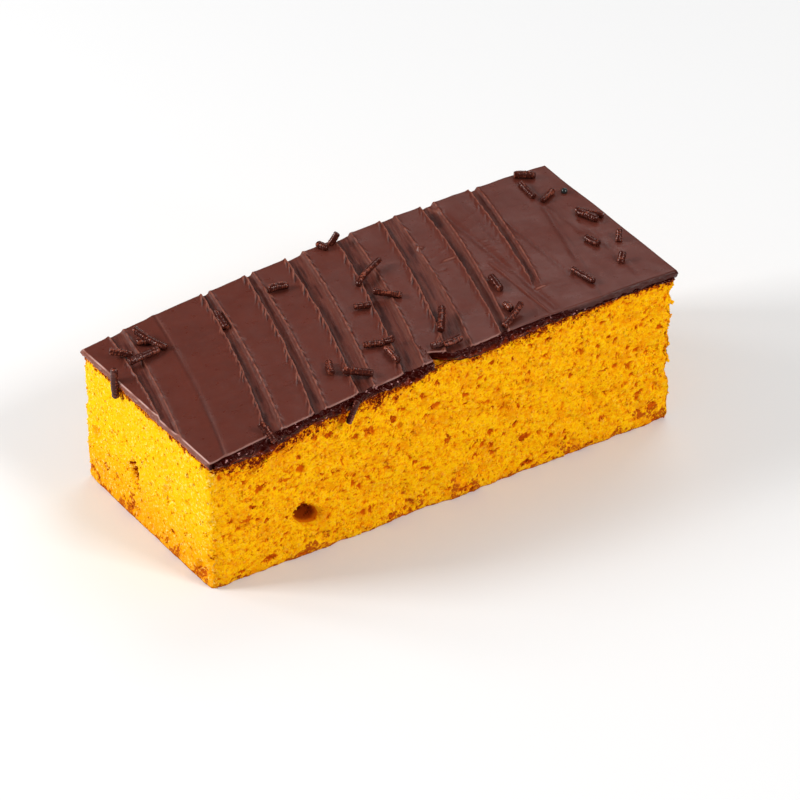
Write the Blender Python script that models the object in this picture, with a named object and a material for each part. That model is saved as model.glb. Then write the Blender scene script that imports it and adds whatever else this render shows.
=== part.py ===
"""A slice of carrot cake: an oblong block of fine yellow sponge, cut on every side, under
a layer of dark chocolate icing that is combed across and strewn with chocolate sprinkles.

Metres, +Z up. X runs along the slice and -Y is the long cut face that is seen first.
The slice stands on z = 0, and the origin lies under the middle of its bounding box.
"""
import math
import random

import bmesh
import bpy
from mathutils import Matrix, Vector, noise

# ---- Slice -------------------------------------------------------------------------
LENGTH = 0.1504
DEPTH = 0.0650
LEFT_HEIGHT = 0.0417            # to the top of the icing at the left end
RIGHT_HEIGHT = 0.0495           # the same at the right end
CROWN = 0.0032                  # rise of the middle over a straight line
LEFT_SKEW = 0.0007              # how far the corners of the left end are off square
RIGHT_SKEW = 0.0003
CENTRE_SHIFT = Vector((0.0007, 0.0007, 0.0))   # puts the whole box over the origin
CLEARANCE = 0.0003              # between sponge and icing

# ---- Sponge ------------------------------------------------------------------------
SPONGE_PITCH = 0.0028           # size of the facets on the cut faces
SPONGE_LEVELS = 16
CUT_INSET = 0.0007              # the crumb lies this far inside the slice's planes
LEAST_INSET = 0.0002
WAVE_HEIGHT, WAVE_LENGTH = 0.0008, 0.017
CRUMB_HEIGHT, CRUMB_LENGTH = 0.0007, 0.0046
FOOT_INSET, FOOT_HEIGHT = 0.0005, 0.0015       # the worn edge round the base
CAVITY_COUNT = 46
CAVITY_RADIUS = (0.0014, 0.0030)
CAVITY_DEPTH = (0.0006, 0.0014)
CAVITY_SEED = 11
# The large bubble in the front face, and the gash in the left end: place, the
# half sizes along the face and up, and the depth.
BUBBLE = (Vector((-0.0453, -0.0325, 0.0148)), 0.0043, 0.0036, 0.0038)
GASH = (Vector((-0.0752, 0.0068, 0.0163)), 0.0020, 0.0036, 0.0013)

# ---- Icing -------------------------------------------------------------------------
ICING = 0.0023                  # thickness
LEFT_ICING = 0.0017             # thinner at the left end
LEFT_THINNING = 0.030           # length over which it thins
RIM_BULGE = 0.0003
RIM_ROUND = 0.0002
RIM_DROP = 0.0005
BOW = 0.0014                    # how far every comb mark curves towards +X
RIDGE_HEIGHT, RIDGE_WIDTH = 0.0005, 0.0007
FLANK = 0.0009                  # from the crest of a ridge to the groove's floor
ROW_PITCH = 0.0052
COLUMN_PITCH = 0.0040
# The cake's front edge is pressed down under the icing in places: x, depth, half width.
PRESSED = (
    (-0.0590, 0.0026, 0.0110),
    (-0.0330, 0.0014, 0.0060),
    (-0.0130, 0.0012, 0.0060),
    (0.0090, 0.0014, 0.0060),
    (0.0210, 0.0010, 0.0080),
    (0.0400, 0.0005, 0.0090),
)
PRESSED_REACH = 0.0056          # how far back from the front edge
BITE_LEFT, BITE_WIDTH, BITE_DEPTH = -0.0046, 0.0080, 0.0042
BITE_WALL = 0.0005
BITE_REACH = 0.0130
# Comb marks: x at the front edge and at the back edge, half width at the front and
# at the back, depth, and the y where the mark starts.
FRONT = -DEPTH / 2
BACK = DEPTH / 2
GROOVES = (
    (-0.0810, -0.0646, 0.0012, 0.0023, 0.0006, FRONT),
    (-0.0549, -0.0365, 0.0023, 0.0013, 0.0009, FRONT),
    (-0.0410, -0.0227, 0.0020, 0.0013, 0.0009, FRONT),
    (-0.0265, -0.0082, 0.0026, 0.0028, 0.0011, FRONT),
    (-0.0115, 0.0075, 0.0034, 0.0026, 0.0010, FRONT),
    (0.0035, 0.0222, 0.0038, 0.0024, 0.0005, FRONT),
    (0.0180, 0.0352, 0.0014, 0.0023, 0.0011, FRONT),
    (0.0334, 0.0500, 0.0012, 0.0015, 0.0009, -0.0180),
)
GROOVE_CLOSING = 0.0020         # length of a groove's sloping end
# Single ridges, and soft hollows: x at the front and at the back, height, width.
SINGLE_MARKS = (
    (-0.0709, -0.0533, 0.0005, 0.0012),
    (0.0495, 0.0668, -0.0004, 0.0022),
    (0.0300, 0.0440, 0.0002, 0.0012),
)
SWELL_HEIGHT, SWELL_LENGTH = 0.0003, 0.014

# ---- Sprinkles ---------------------------------------------------------------------
SPRINKLE_RADIUS = 0.00085
SPRINKLE_TIP = 0.0005
SPRINKLE_SIDES = 6
THICKNESS_SPREAD = 0.12
SPRINKLE_SEED = 5
# Middle (x, y), height of the axis over the icing, heading and lean in degrees, length.
SPRINKLES = (
    # the heap at the back of the left end
    (-0.0693, 0.0216, 0.0007, -31, -11, 0.0066),
    (-0.0602, 0.0217, 0.0019, -68, -9, 0.0112),
    (-0.0616, 0.0228, 0.0005, -21, 0, 0.0040),
    (-0.0651, 0.0170, 0.0008, 4, 2, 0.0096),
    # over the left end and over the front edge
    (-0.0760, 0.0136, -0.0001, -115, -82, 0.0086),
    (-0.0568, -0.0317, 0.0000, -64, -41, 0.0064),
    (-0.0315, -0.0334, -0.0041, -175, -52, 0.0060),
    # between the comb marks on the left half
    (-0.0398, 0.0188, 0.0004, -102, 0, 0.0082),
    (-0.0205, 0.0207, 0.0006, -12, 0, 0.0057),
    (-0.0291, -0.0189, 0.0004, -113, 0, 0.0054),
    (-0.0246, -0.0256, 0.0006, -43, 1, 0.0082),
    (-0.0143, -0.0175, 0.0006, -22, 0, 0.0058),
    (-0.0105, -0.0185, 0.0005, -8, 0, 0.0034),
    (-0.0131, -0.0245, 0.0006, -94, 0, 0.0072),
    # the pair that stands up at the back edge
    (-0.0003, 0.0303, 0.0006, -69, 0, 0.0036),
    (0.0036, 0.0307, 0.0014, -8, 56, 0.0040),
    # the middle
    (0.0026, 0.0113, 0.0014, 25, 10, 0.0117),
    (-0.0070, -0.0006, 0.0006, -16, 0, 0.0048),
    (0.0015, 0.0000, 0.0007, -45, -1, 0.0079),
    # the heap at the torn front edge
    (0.0059, -0.0195, 0.0010, -125, -7, 0.0096),
    (0.0034, -0.0288, 0.0008, 2, 1, 0.0060),
    (-0.0008, -0.0281, 0.0004, -12, 0, 0.0040),
    # the right half
    (0.0284, -0.0125, 0.0006, -101, 0, 0.0068),
    (0.0230, -0.0286, 0.0013, 27, 12, 0.0099),
    (0.0248, -0.0239, 0.0005, -91, 0, 0.0034),
    (0.0507, -0.0223, 0.0006, -80, 0, 0.0085),
    (0.0626, 0.0227, 0.0006, -96, 0, 0.0084),
    (0.0661, 0.0293, 0.0008, -28, -4, 0.0062),
    (0.0659, 0.0174, 0.0007, 26, 2, 0.0061),
    (0.0706, 0.0034, 0.0006, -54, -1, 0.0082),
    (0.0690, 0.0020, 0.0004, -67, 0, 0.0064),
    (0.0629, -0.0091, 0.0006, -76, 0, 0.0050),
    (0.0704, -0.0114, 0.0012, 51, 49, 0.0038),
    (0.0646, -0.0209, 0.0011, 37, 52, 0.0036),
)
BEAD_PLACE = (0.0716, 0.0171)
BEAD_RADIUS = 0.0009

# ---- Colours -----------------------------------------------------------------------
SPONGE_COLOUR = (0.84, 0.45, 0.02, 1.0)
ICING_COLOUR = (0.105, 0.038, 0.030, 1.0)

MERGE = 1e-7
TINY = 1e-5


def clamped(value):
    return min(1.0, max(0.0, value))


def eased(value):
    """0 to 1 with a soft start and end."""
    t = clamped(value)
    return t * t * (3.0 - 2.0 * t)


def bell(distance, width):
    return math.exp(-(distance / width) ** 2)


# ---- Shape of the whole slice ------------------------------------------------------
def along(x):
    """0 at the left end, 1 at the right end."""
    return x / LENGTH + 0.5


def across(y):
    """0 at the front edge, 1 at the back edge."""
    return y / DEPTH + 0.5


def icing_top(x):
    """Height of the icing between the comb marks."""
    t = along(x)
    return LEFT_HEIGHT + (RIGHT_HEIGHT - LEFT_HEIGHT) * t + 4.0 * CROWN * t * (1.0 - t)


def icing_underside(x, y):
    """Height of the face that sponge and icing share."""
    thickness = LEFT_ICING + (ICING - LEFT_ICING) * eased(along(x) * LENGTH / LEFT_THINNING)
    pressed = sum(depth * bell(x - place, width) for place, depth, width in PRESSED)
    nearness = clamped(1.0 - (y - FRONT) / PRESSED_REACH)
    return icing_top(x) - thickness - pressed * nearness ** 2


def comb_line(front, back, y):
    """x of a comb mark at y."""
    t = across(y)
    return front + (back - front) * t + 4.0 * BOW * t * (1.0 - t)


def comb_relief(x, y):
    """Height of the comb marks and soft swells over the icing's plain surface."""
    height = SWELL_HEIGHT * noise.noise(Vector((x / SWELL_LENGTH, y / SWELL_LENGTH, 0.0)))
    for front, back, half_front, half_back, depth, start in GROOVES:
        half = half_front + (half_back - half_front) * across(y)
        aside = abs(x - comb_line(front, back, y))
        opened = eased((y - start) / GROOVE_CLOSING) if start > FRONT else 1.0
        channel = eased((half - aside) / FLANK)
        height -= opened * depth * channel
        height += opened * RIDGE_HEIGHT * bell(aside - half, RIDGE_WIDTH)
    for front, back, rise, width in SINGLE_MARKS:
        height += rise * bell(x - comb_line(front, back, y), width)
    return height


def torn_back(x):
    """How far the icing's front edge is torn back at x, with a steep left wall."""
    t = (x - BITE_LEFT) / BITE_WIDTH
    wall = eased((x - BITE_LEFT) / BITE_WALL + 1.0)
    return BITE_DEPTH * wall * eased(1.0 - t)


def skewed(x, y):
    """x once the two ends are cut off square."""
    t = along(x)
    return x + (-LEFT_SKEW * (1.0 - t) + RIGHT_SKEW * t) * y / BACK


# ---- Mesh helpers ------------------------------------------------------------------
def spaced(low, high, pitch):
    """Cuts between low and high at no more than the pitch, without the two ends."""
    count = math.ceil((high - low) / pitch)
    return [low + (high - low) * step / count for step in range(1, count)]


def unit_slab():
    """A box of the slice's plan, whose z runs from 0 at its base to 1 at its top."""
    bm = bmesh.new()
    bmesh.ops.create_cube(bm, size=1.0, matrix=Matrix.Translation((0.0, 0.0, 0.5)))
    bmesh.ops.scale(bm, vec=(LENGTH, DEPTH, 1.0), verts=bm.verts)
    return bm


def score(bm, picked, point, normal):
    """Cut a line along a plane across the faces whose normals are picked."""
    bm.normal_update()
    faces = [face for face in bm.faces if picked(face.normal)]
    edges = {edge for face in faces for edge in face.edges}
    verts = {vert for face in faces for vert in face.verts}
    bmesh.ops.bisect_plane(
        bm, geom=[*verts, *edges, *faces], dist=MERGE, plane_co=point, plane_no=normal
    )


def upright(normal):
    return abs(normal.z) < 0.5


def facing_y(normal):
    return abs(normal.y) > 0.5


def facing_x(normal):
    return abs(normal.x) > 0.5


def upward(normal):
    return normal.z > 0.5


def level(normal):
    return abs(normal.z) > 0.5


def make_object(bm, name, material, collection):
    mesh = bpy.data.meshes.new(name)
    bm.to_mesh(mesh)
    bm.free()
    mesh.shade_smooth()
    mesh.set_sharp_from_angle(angle=math.radians(50.0))
    mesh.materials.append(material)
    made = bpy.data.objects.new(name, mesh)
    collection.objects.link(made)
    return made


def make_material(name, colour, roughness):
    material = bpy.data.materials.new(name)
    material.use_nodes = True
    shader = material.node_tree.nodes["Principled BSDF"]
    shader.inputs["Base Color"].default_value = colour
    shader.inputs["Roughness"].default_value = roughness
    shader.inputs["Metallic"].default_value = 0.0
    return material


# ---- Sponge ------------------------------------------------------------------------
def random_cavities():
    """Small hollows spread over the four cut faces, none near the top edge."""
    draw = random.Random(CAVITY_SEED)
    cavities = []
    for _ in range(CAVITY_COUNT):
        side = draw.choice(("front", "back", "front", "back", "left", "right"))
        height = draw.uniform(0.05, 0.85) * LEFT_HEIGHT
        if side in ("front", "back"):
            place = Vector((draw.uniform(-0.46, 0.46) * LENGTH, FRONT, height))
            place.y = FRONT if side == "front" else BACK
        else:
            place = Vector((LENGTH / 2, draw.uniform(-0.44, 0.44) * DEPTH, height))
            place.x = -LENGTH / 2 if side == "left" else LENGTH / 2
        width = draw.uniform(*CAVITY_RADIUS)
        cavities.append((place, width, width * draw.uniform(0.6, 1.0), draw.uniform(*CAVITY_DEPTH)))
    return cavities


def hollow(point, cavities):
    """Depth of the hollows at a point of a cut face."""
    depth = 0.0
    for place, width, height, deepest in cavities:
        sideways = math.hypot(point.x - place.x, point.y - place.y) / width
        upwards = (point.z - place.z) / height
        depth = max(depth, deepest * clamped(1.3 - sideways ** 2 - upwards ** 2))
    return depth


def crumb_inset(point, cavities):
    """How far the crumb lies inside the plane of the cut at a point."""
    wave = WAVE_HEIGHT * noise.noise(point / WAVE_LENGTH)
    crumb = CRUMB_HEIGHT * noise.noise(point / CRUMB_LENGTH + Vector((7.0, 3.0, 5.0)))
    foot = FOOT_INSET * clamped(1.0 - point.z / FOOT_HEIGHT)
    return max(LEAST_INSET, CUT_INSET + wave + crumb) + foot + hollow(point, cavities)


def build_sponge(collection):
    bm = unit_slab()
    for x in spaced(-LENGTH / 2, LENGTH / 2, SPONGE_PITCH):
        score(bm, lambda normal: facing_y(normal) or upward(normal), (x, 0, 0), (1, 0, 0))
    for y in spaced(FRONT, BACK, SPONGE_PITCH):
        score(bm, facing_x, (0, y, 0), (0, 1, 0))
    for share in (0.16, 0.5, 0.99):
        score(bm, upward, (0, FRONT + share * PRESSED_REACH, 0), (0, 1, 0))
    for step in range(1, SPONGE_LEVELS):
        score(bm, upright, (0, 0, step / SPONGE_LEVELS), (0, 0, 1))
    cavities = [BUBBLE, GASH, *random_cavities()]
    for vert in bm.verts:
        x, y, share = vert.co
        flat = Vector((x, y, share * (icing_underside(x, y) - CLEARANCE / 2)))
        inset = crumb_inset(flat, cavities)
        at_end = abs(x) > LENGTH / 2 - TINY
        at_side = abs(y) > DEPTH / 2 - TINY
        inner_x = x - math.copysign(inset, x) if at_end else x
        inner_y = y - math.copysign(inset, y) if at_side else y
        vert.co = Vector((skewed(inner_x, inner_y), inner_y, flat.z)) + CENTRE_SHIFT
    material = make_material("yellow_sponge", SPONGE_COLOUR, 0.9)
    return make_object(bm, "sponge", material, collection)


# ---- Icing -------------------------------------------------------------------------
def column_lines():
    """Front and back x of the lines that the icing's facets follow, left to right."""
    lines = [(-LENGTH / 2, -LENGTH / 2)]
    for front, back, half_front, half_back, _, _ in GROOVES:
        for side in (-1.0, 1.0):
            for outward in (-FLANK, 0.0, RIDGE_WIDTH * 1.6):
                lines.append((front + side * (half_front + outward), back + side * (half_back + outward)))
    for front, back, _, width in SINGLE_MARKS:
        lines += [(front - width, back - width), (front, back), (front + width, back + width)]
    slant = GROOVES[3][1] - GROOVES[3][0]
    lines += [(x, x + slant) for x in (BITE_LEFT - BITE_WALL, BITE_LEFT, BITE_LEFT + 0.0022)]
    lines.append((LENGTH / 2, LENGTH / 2))
    lines.sort(key=sum)
    filled = []
    for (front, back), (next_front, next_back) in zip(lines, lines[1:]):
        gap = (next_front - front + next_back - back) / 2
        filled.append((front, back))
        count = math.ceil(gap / COLUMN_PITCH)
        for step in range(1, count):
            t = step / count
            filled.append((front + (next_front - front) * t, back + (next_back - back) * t))
    return filled[1:]


def icing_point(x, y, share):
    """Where a point of the unit slab goes: share is 0 below, 0.5 at the rim, 1 on top."""
    edge_fade = clamped((LENGTH / 2 - abs(x)) / 0.010)
    t = across(y)
    bowed = x + 4.0 * BOW * t * (1.0 - t) * edge_fade
    at_end = abs(x) > LENGTH / 2 - TINY
    at_side = abs(y) > DEPTH / 2 - TINY
    low = icing_underside(bowed, y) + CLEARANCE / 2
    high = icing_top(bowed) + comb_relief(bowed, y)
    if at_end or at_side:
        high -= RIM_DROP
    outward = RIM_BULGE if 0.1 < share < 0.9 else -RIM_ROUND
    moved_x = bowed + (math.copysign(outward, x) if at_end else 0.0)
    moved_y = y + (math.copysign(outward, y) if at_side else 0.0)
    moved_y += torn_back(bowed) * clamped(1.0 - (y - FRONT) / BITE_REACH)
    return Vector((skewed(moved_x, moved_y), moved_y, low + (high - low) * share))


def build_icing_layer(collection):
    bm = unit_slab()
    score(bm, upright, (0, 0, 0.5), (0, 0, 1))
    edge_rows = [FRONT + share * PRESSED_REACH for share in (0.16, 0.5, 0.99)]
    for y in edge_rows:
        score(bm, lambda normal: level(normal) or facing_x(normal), (0, y, 0), (0, 1, 0))
    for y in [*spaced(edge_rows[-1], BACK - 0.0009, ROW_PITCH), BACK - 0.0009]:
        score(bm, lambda normal: upward(normal) or facing_x(normal), (0, y, 0), (0, 1, 0))
    for front, back in column_lines():
        run = Vector((back - front, DEPTH, 0.0))
        score(bm, lambda normal: True, (front, FRONT, 0), (run.y, -run.x, 0))
    for vert in bm.verts:
        vert.co = icing_point(*vert.co) + CENTRE_SHIFT
    material = make_material("chocolate_icing", ICING_COLOUR, 0.4)
    return make_object(bm, "icing", material, collection)


# ---- Sprinkles ---------------------------------------------------------------------
def surface_height(x, y):
    return icing_top(x) + comb_relief(x, y)


def sprinkle_mesh(length, radius):
    """A six-sided rod with pointed tips, along X."""
    bm = bmesh.new()
    bmesh.ops.create_cone(
        bm, cap_ends=True, segments=SPRINKLE_SIDES, radius1=radius, radius2=radius,
        depth=length - 2.0 * SPRINKLE_TIP, matrix=Matrix.Rotation(math.pi / 2, 4, "Y"),
    )
    caps = [face for face in bm.faces if len(face.verts) == SPRINKLE_SIDES]
    bmesh.ops.poke(bm, faces=caps, offset=SPRINKLE_TIP)
    return bm


def build_sprinkles(material, collection):
    draw = random.Random(SPRINKLE_SEED)
    for number, (x, y, lift, heading, lean, length) in enumerate(SPRINKLES):
        radius = SPRINKLE_RADIUS * draw.uniform(1.0 - THICKNESS_SPREAD, 1.0 + THICKNESS_SPREAD)
        place = Vector((skewed(x, y), y, surface_height(x, y) + lift)) + CENTRE_SHIFT
        turn = Matrix.Rotation(math.radians(heading), 4, "Z")
        tilt = Matrix.Rotation(-math.radians(lean), 4, "Y")
        bm = sprinkle_mesh(length, radius)
        bm.transform(Matrix.Translation(place) @ turn @ tilt)
        make_object(bm, f"sprinkle_{number:02d}", material, collection)
    x, y = BEAD_PLACE
    bm = bmesh.new()
    bmesh.ops.create_icosphere(bm, subdivisions=1, radius=BEAD_RADIUS)
    lifted = surface_height(x, y) + 0.6 * BEAD_RADIUS
    bm.transform(Matrix.Translation(Vector((x, y, lifted)) + CENTRE_SHIFT))
    make_object(bm, "bead", material, collection)


def fuse(layer, toppings):
    """Join a collection's objects to the layer as one solid, and remove them."""
    union = layer.modifiers.new("sprinkles", "BOOLEAN")
    union.operation = "UNION"
    union.operand_type = "COLLECTION"
    union.collection = toppings
    union.solver = "EXACT"
    graph = bpy.context.evaluated_depsgraph_get()
    joined = bpy.data.meshes.new_from_object(layer.evaluated_get(graph))
    layer.modifiers.clear()
    layer.data = joined
    for topping in list(toppings.objects):
        bpy.data.objects.remove(topping)
    bpy.data.collections.remove(toppings)


def new_collection(name):
    collection = bpy.data.collections.new(name)
    bpy.context.scene.collection.children.link(collection)
    return collection


def main():
    for old in list(bpy.data.objects):
        bpy.data.objects.remove(old)
    cake = new_collection("carrot_cake")
    toppings = new_collection("sprinkles")
    build_sponge(cake)
    icing = build_icing_layer(cake)
    build_sprinkles(icing.data.materials[0], toppings)
    fuse(icing, toppings)


main()
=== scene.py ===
"""The looks of a slice of carrot cake: torn yellow crumb, combed chocolate icing, chocolate
sprinkles, the wet smear under the icing's front edge, loose crumbs, floor, light and camera.

Metres, +Z up. X runs along the slice and -Y is the long cut face that is seen first.
"""

import math
import random

import bmesh
import bpy
import numpy as np
from bpy.props import FloatProperty, FloatVectorProperty, IntProperty, PointerProperty
from mathutils import Matrix, Vector, noise


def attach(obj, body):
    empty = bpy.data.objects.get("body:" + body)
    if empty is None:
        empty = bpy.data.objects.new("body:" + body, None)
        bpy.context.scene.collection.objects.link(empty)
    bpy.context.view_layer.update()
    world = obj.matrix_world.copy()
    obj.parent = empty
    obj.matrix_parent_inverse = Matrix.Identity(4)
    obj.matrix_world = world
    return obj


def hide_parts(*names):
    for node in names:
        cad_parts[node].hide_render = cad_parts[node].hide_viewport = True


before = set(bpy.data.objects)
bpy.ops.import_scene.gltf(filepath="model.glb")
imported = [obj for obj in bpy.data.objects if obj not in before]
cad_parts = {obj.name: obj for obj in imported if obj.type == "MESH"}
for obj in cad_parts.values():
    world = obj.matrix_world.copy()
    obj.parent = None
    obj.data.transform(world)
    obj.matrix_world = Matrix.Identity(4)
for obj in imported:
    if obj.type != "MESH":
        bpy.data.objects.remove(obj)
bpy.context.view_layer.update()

bl_info = {
    "name": "Carrot Cake Slice",
    "version": (1, 0, 0),
    "blender": (4, 5, 0),
    "location": "3D View > Sidebar > Cake",
    "description": "Makes an iced slice of carrot cake with its crumb, icing and sprinkles",
    "category": "Add Mesh",
}

# ---- The whole slice ---------------------------------------------------------------
# These are the solids' own values, with how torn the comb marks are and how dark their painted shade is.
# Only the bubble lies lower here and slants, the last comb mark starts softer, and one sprinkle leans
# further over the front edge.
LENGTH = 0.1504
DEPTH = 0.0650
LEFT_HEIGHT, RIGHT_HEIGHT = 0.0417, 0.0495      # to the top of the icing at each end
CROWN = 0.0032                  # rise of the middle over a straight line
LEFT_SKEW, RIGHT_SKEW = 0.0007, 0.0003          # how far each end is off square
CENTRE_SHIFT = np.array((0.0007, 0.0007, 0.0))  # puts the whole box over the origin
CLEARANCE = 0.0003              # between sponge and icing
FRONT, BACK = -DEPTH / 2, DEPTH / 2

CUT_INSET, LEAST_INSET = 0.0007, 0.0002         # of the crumb inside the plane of the cut
WAVE_HEIGHT, WAVE_LENGTH = 0.0008, 0.017
CRUMB_HEIGHT, CRUMB_LENGTH = 0.0007, 0.0046
CRUMB_PLACE = (7.0, 3.0, 5.0)
FOOT_INSET, FOOT_HEIGHT = 0.0005, 0.0015        # the worn edge round the base
CAVITY_COUNT, CAVITY_SEED = 46, 11
CAVITY_LEVELS = (0.05, 0.85)    # lowest and highest, next to the left end's height
CAVITY_RADIUS = (0.0014, 0.0030)
CAVITY_DEPTH = (0.0006, 0.0014)
# The two placed hollows: middle, half width, half height, depth, and how far they are
# turned down to the right.
BUBBLE = ((-0.0448, -0.0325, 0.0128), 0.0048, 0.0031, 0.0038, math.radians(40.0))
GASH = ((-0.0752, 0.0068, 0.0163), 0.0020, 0.0036, 0.0013, 0.0)

ICING, LEFT_ICING = 0.0023, 0.0017              # thickness, and at the left end
LEFT_THINNING = 0.030           # length over which the icing thins to the left end
RIM_BULGE, RIM_ROUND = 0.0003, 0.0002
BOW = 0.0014                    # how far every comb mark curves towards +X
# Where the icing is pressed down over the front edge: x, depth and half width.
PRESSED = (
    (-0.0590, 0.0026, 0.0110),
    (-0.0330, 0.0014, 0.0060),
    (-0.0130, 0.0012, 0.0060),
    (0.0090, 0.0014, 0.0060),
    (0.0210, 0.0010, 0.0080),
    (0.0400, 0.0005, 0.0090),
)
PRESSED_REACH = 0.0056          # how far back from the front edge
# The piece torn out of the icing's front edge.
BITE_LEFT, BITE_WIDTH, BITE_DEPTH = -0.0046, 0.0080, 0.0042
BITE_WALL, BITE_REACH = 0.0005, 0.0130          # width of its steep side, and how far back it fades
# Comb marks: x at the front edge and at the back edge, half width at the front and at the
# back, depth, the y where the mark starts, and how torn its left crest is.
GROOVES = (
    (-0.0810, -0.0646, 0.0012, 0.0023, 0.0006, FRONT, 0.3),
    (-0.0549, -0.0365, 0.0023, 0.0013, 0.0009, FRONT, 0.8),
    (-0.0410, -0.0227, 0.0020, 0.0013, 0.0009, FRONT, 1.0),
    (-0.0265, -0.0082, 0.0026, 0.0028, 0.0011, FRONT, 1.0),
    (-0.0115, 0.0075, 0.0034, 0.0026, 0.0010, FRONT, 0.8),
    (0.0035, 0.0222, 0.0038, 0.0024, 0.0005, FRONT, 0.7),
    (0.0180, 0.0352, 0.0014, 0.0023, 0.0011, FRONT, 0.4),
    (0.0334, 0.0506, 0.0012, 0.0015, 0.0009, -0.0198, 0.3),
)
GROOVE_CLOSING = 0.0070         # length of the soft end of a comb mark
# Soft single marks: x at the front edge and at the back edge, rise, half width, and how dark the painted
# shade on their side is.
SINGLE_MARKS = (
    (-0.0709, -0.0533, 0.0005, 0.0012, 0.50),
    (0.0495, 0.0668, -0.0004, 0.0022, 0.35),
    (0.0300, 0.0440, 0.0002, 0.0012, 0.20),
)
SWELL_HEIGHT, SWELL_LENGTH = 0.0003, 0.014

SPRINKLE_RADIUS, THICKNESS_SPREAD, SPRINKLE_SEED = 0.00085, 0.12, 5
# Middle (x, y), height of the axis over the icing, heading and lean in degrees, length.
SPRINKLES = (
    # the heap at the back of the left end
    (-0.0693, 0.0216, 0.0007, -31, -11, 0.0066),
    (-0.0602, 0.0217, 0.0019, -68, -9, 0.0112),
    (-0.0616, 0.0228, 0.0005, -21, 0, 0.0040),
    (-0.0651, 0.0170, 0.0008, 4, 2, 0.0096),
    # over the left end and over the front edge
    (-0.0760, 0.0136, -0.0001, -115, -82, 0.0086),
    (-0.0568, -0.0317, 0.0000, -64, -41, 0.0064),
    (-0.0318, -0.0342, -0.0036, -178, -63, 0.0068),
    # between the comb marks on the left half
    (-0.0398, 0.0188, 0.0004, -102, 0, 0.0082),
    (-0.0205, 0.0207, 0.0006, -12, 0, 0.0057),
    (-0.0291, -0.0189, 0.0004, -113, 0, 0.0054),
    (-0.0246, -0.0256, 0.0006, -43, 1, 0.0082),
    (-0.0143, -0.0175, 0.0006, -22, 0, 0.0058),
    (-0.0105, -0.0185, 0.0005, -8, 0, 0.0034),
    (-0.0131, -0.0245, 0.0006, -94, 0, 0.0072),
    # the pair that stands up at the back edge
    (-0.0003, 0.0303, 0.0006, -69, 0, 0.0036),
    (0.0036, 0.0307, 0.0014, -8, 56, 0.0040),
    # the middle
    (0.0026, 0.0113, 0.0014, 25, 10, 0.0117),
    (-0.0070, -0.0006, 0.0006, -16, 0, 0.0048),
    (0.0015, 0.0000, 0.0007, -45, -1, 0.0079),
    # the heap at the torn front edge
    (0.0059, -0.0195, 0.0010, -125, -7, 0.0096),
    (0.0034, -0.0288, 0.0008, 2, 1, 0.0060),
    (-0.0008, -0.0281, 0.0004, -12, 0, 0.0040),
    # the right half
    (0.0284, -0.0125, 0.0006, -101, 0, 0.0068),
    (0.0230, -0.0286, 0.0013, 27, 12, 0.0099),
    (0.0248, -0.0239, 0.0005, -91, 0, 0.0034),
    (0.0507, -0.0223, 0.0006, -80, 0, 0.0085),
    (0.0626, 0.0227, 0.0006, -96, 0, 0.0084),
    (0.0661, 0.0293, 0.0008, -28, -4, 0.0062),
    (0.0659, 0.0174, 0.0007, 26, 2, 0.0061),
    (0.0706, 0.0034, 0.0006, -54, -1, 0.0082),
    (0.0690, 0.0020, 0.0004, -67, 0, 0.0064),
    (0.0629, -0.0091, 0.0006, -76, 0, 0.0050),
    (0.0704, -0.0114, 0.0012, 51, 49, 0.0038),
    (0.0646, -0.0209, 0.0011, 37, 52, 0.0036),
)
BEAD_PLACE, BEAD_RADIUS = (0.0716, 0.0171), 0.0009

# ---- Marks, spots and stains at their own places -----------------------------------
# Strokes across the icing: middle (x, y), half width and distance from one to the next.
WHISKERS = (
    (0.0395, 0.0100, 0.0028, 0.0036),
    (0.0230, 0.0075, 0.0026, 0.0047),
    (0.0060, 0.0180, 0.0022, 0.0052),
)
# Short marks in the icing: from (x, y) to (x, y), half width, rise, how much they are crest (lighter
# chocolate with painted highlight) and how much dark (painted shade).
STROKES = (
    (0.0332, -0.0010, 0.0332, -0.0330, 0.00028, 0.00018, 0.40, 0.0),
    (0.0326, -0.0020, 0.0326, -0.0330, 0.00035, -0.00010, 0.0, 0.35),
    (0.0364, 0.0300, 0.0363, -0.0320, 0.00110, -0.00022, 0.0, 0.20),
    (0.0487, 0.0150, 0.0486, -0.0260, 0.00050, -0.00022, 0.0, 0.35),
    (0.0629, 0.0160, 0.0540, -0.0150, 0.00060, -0.00022, 0.0, 0.35),
    (0.0647, 0.0283, 0.0639, -0.0038, 0.00110, -0.00024, 0.0, 0.22),
    (0.0662, 0.0214, 0.0665, -0.0085, 0.00080, -0.00016, 0.0, 0.15),
    (0.0665, -0.0085, 0.0643, -0.0300, 0.00070, -0.00014, 0.0, 0.15),
    (0.0225, 0.0054, 0.0275, 0.0050, 0.00040, 0.00045, 0.70, 0.0),
    (0.0203, 0.0150, 0.0222, 0.0140, 0.00060, 0.00070, 0.60, 0.0),
    (0.0207, 0.0020, 0.0222, 0.0026, 0.00060, -0.00010, 0.0, 0.30),
    (0.0361, -0.0200, 0.0402, -0.0203, 0.00035, 0.00040, 0.90, 0.0),
    (0.0345, 0.0325, 0.0368, 0.0265, 0.00080, 0.00040, 0.50, 0.0),
)
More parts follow.
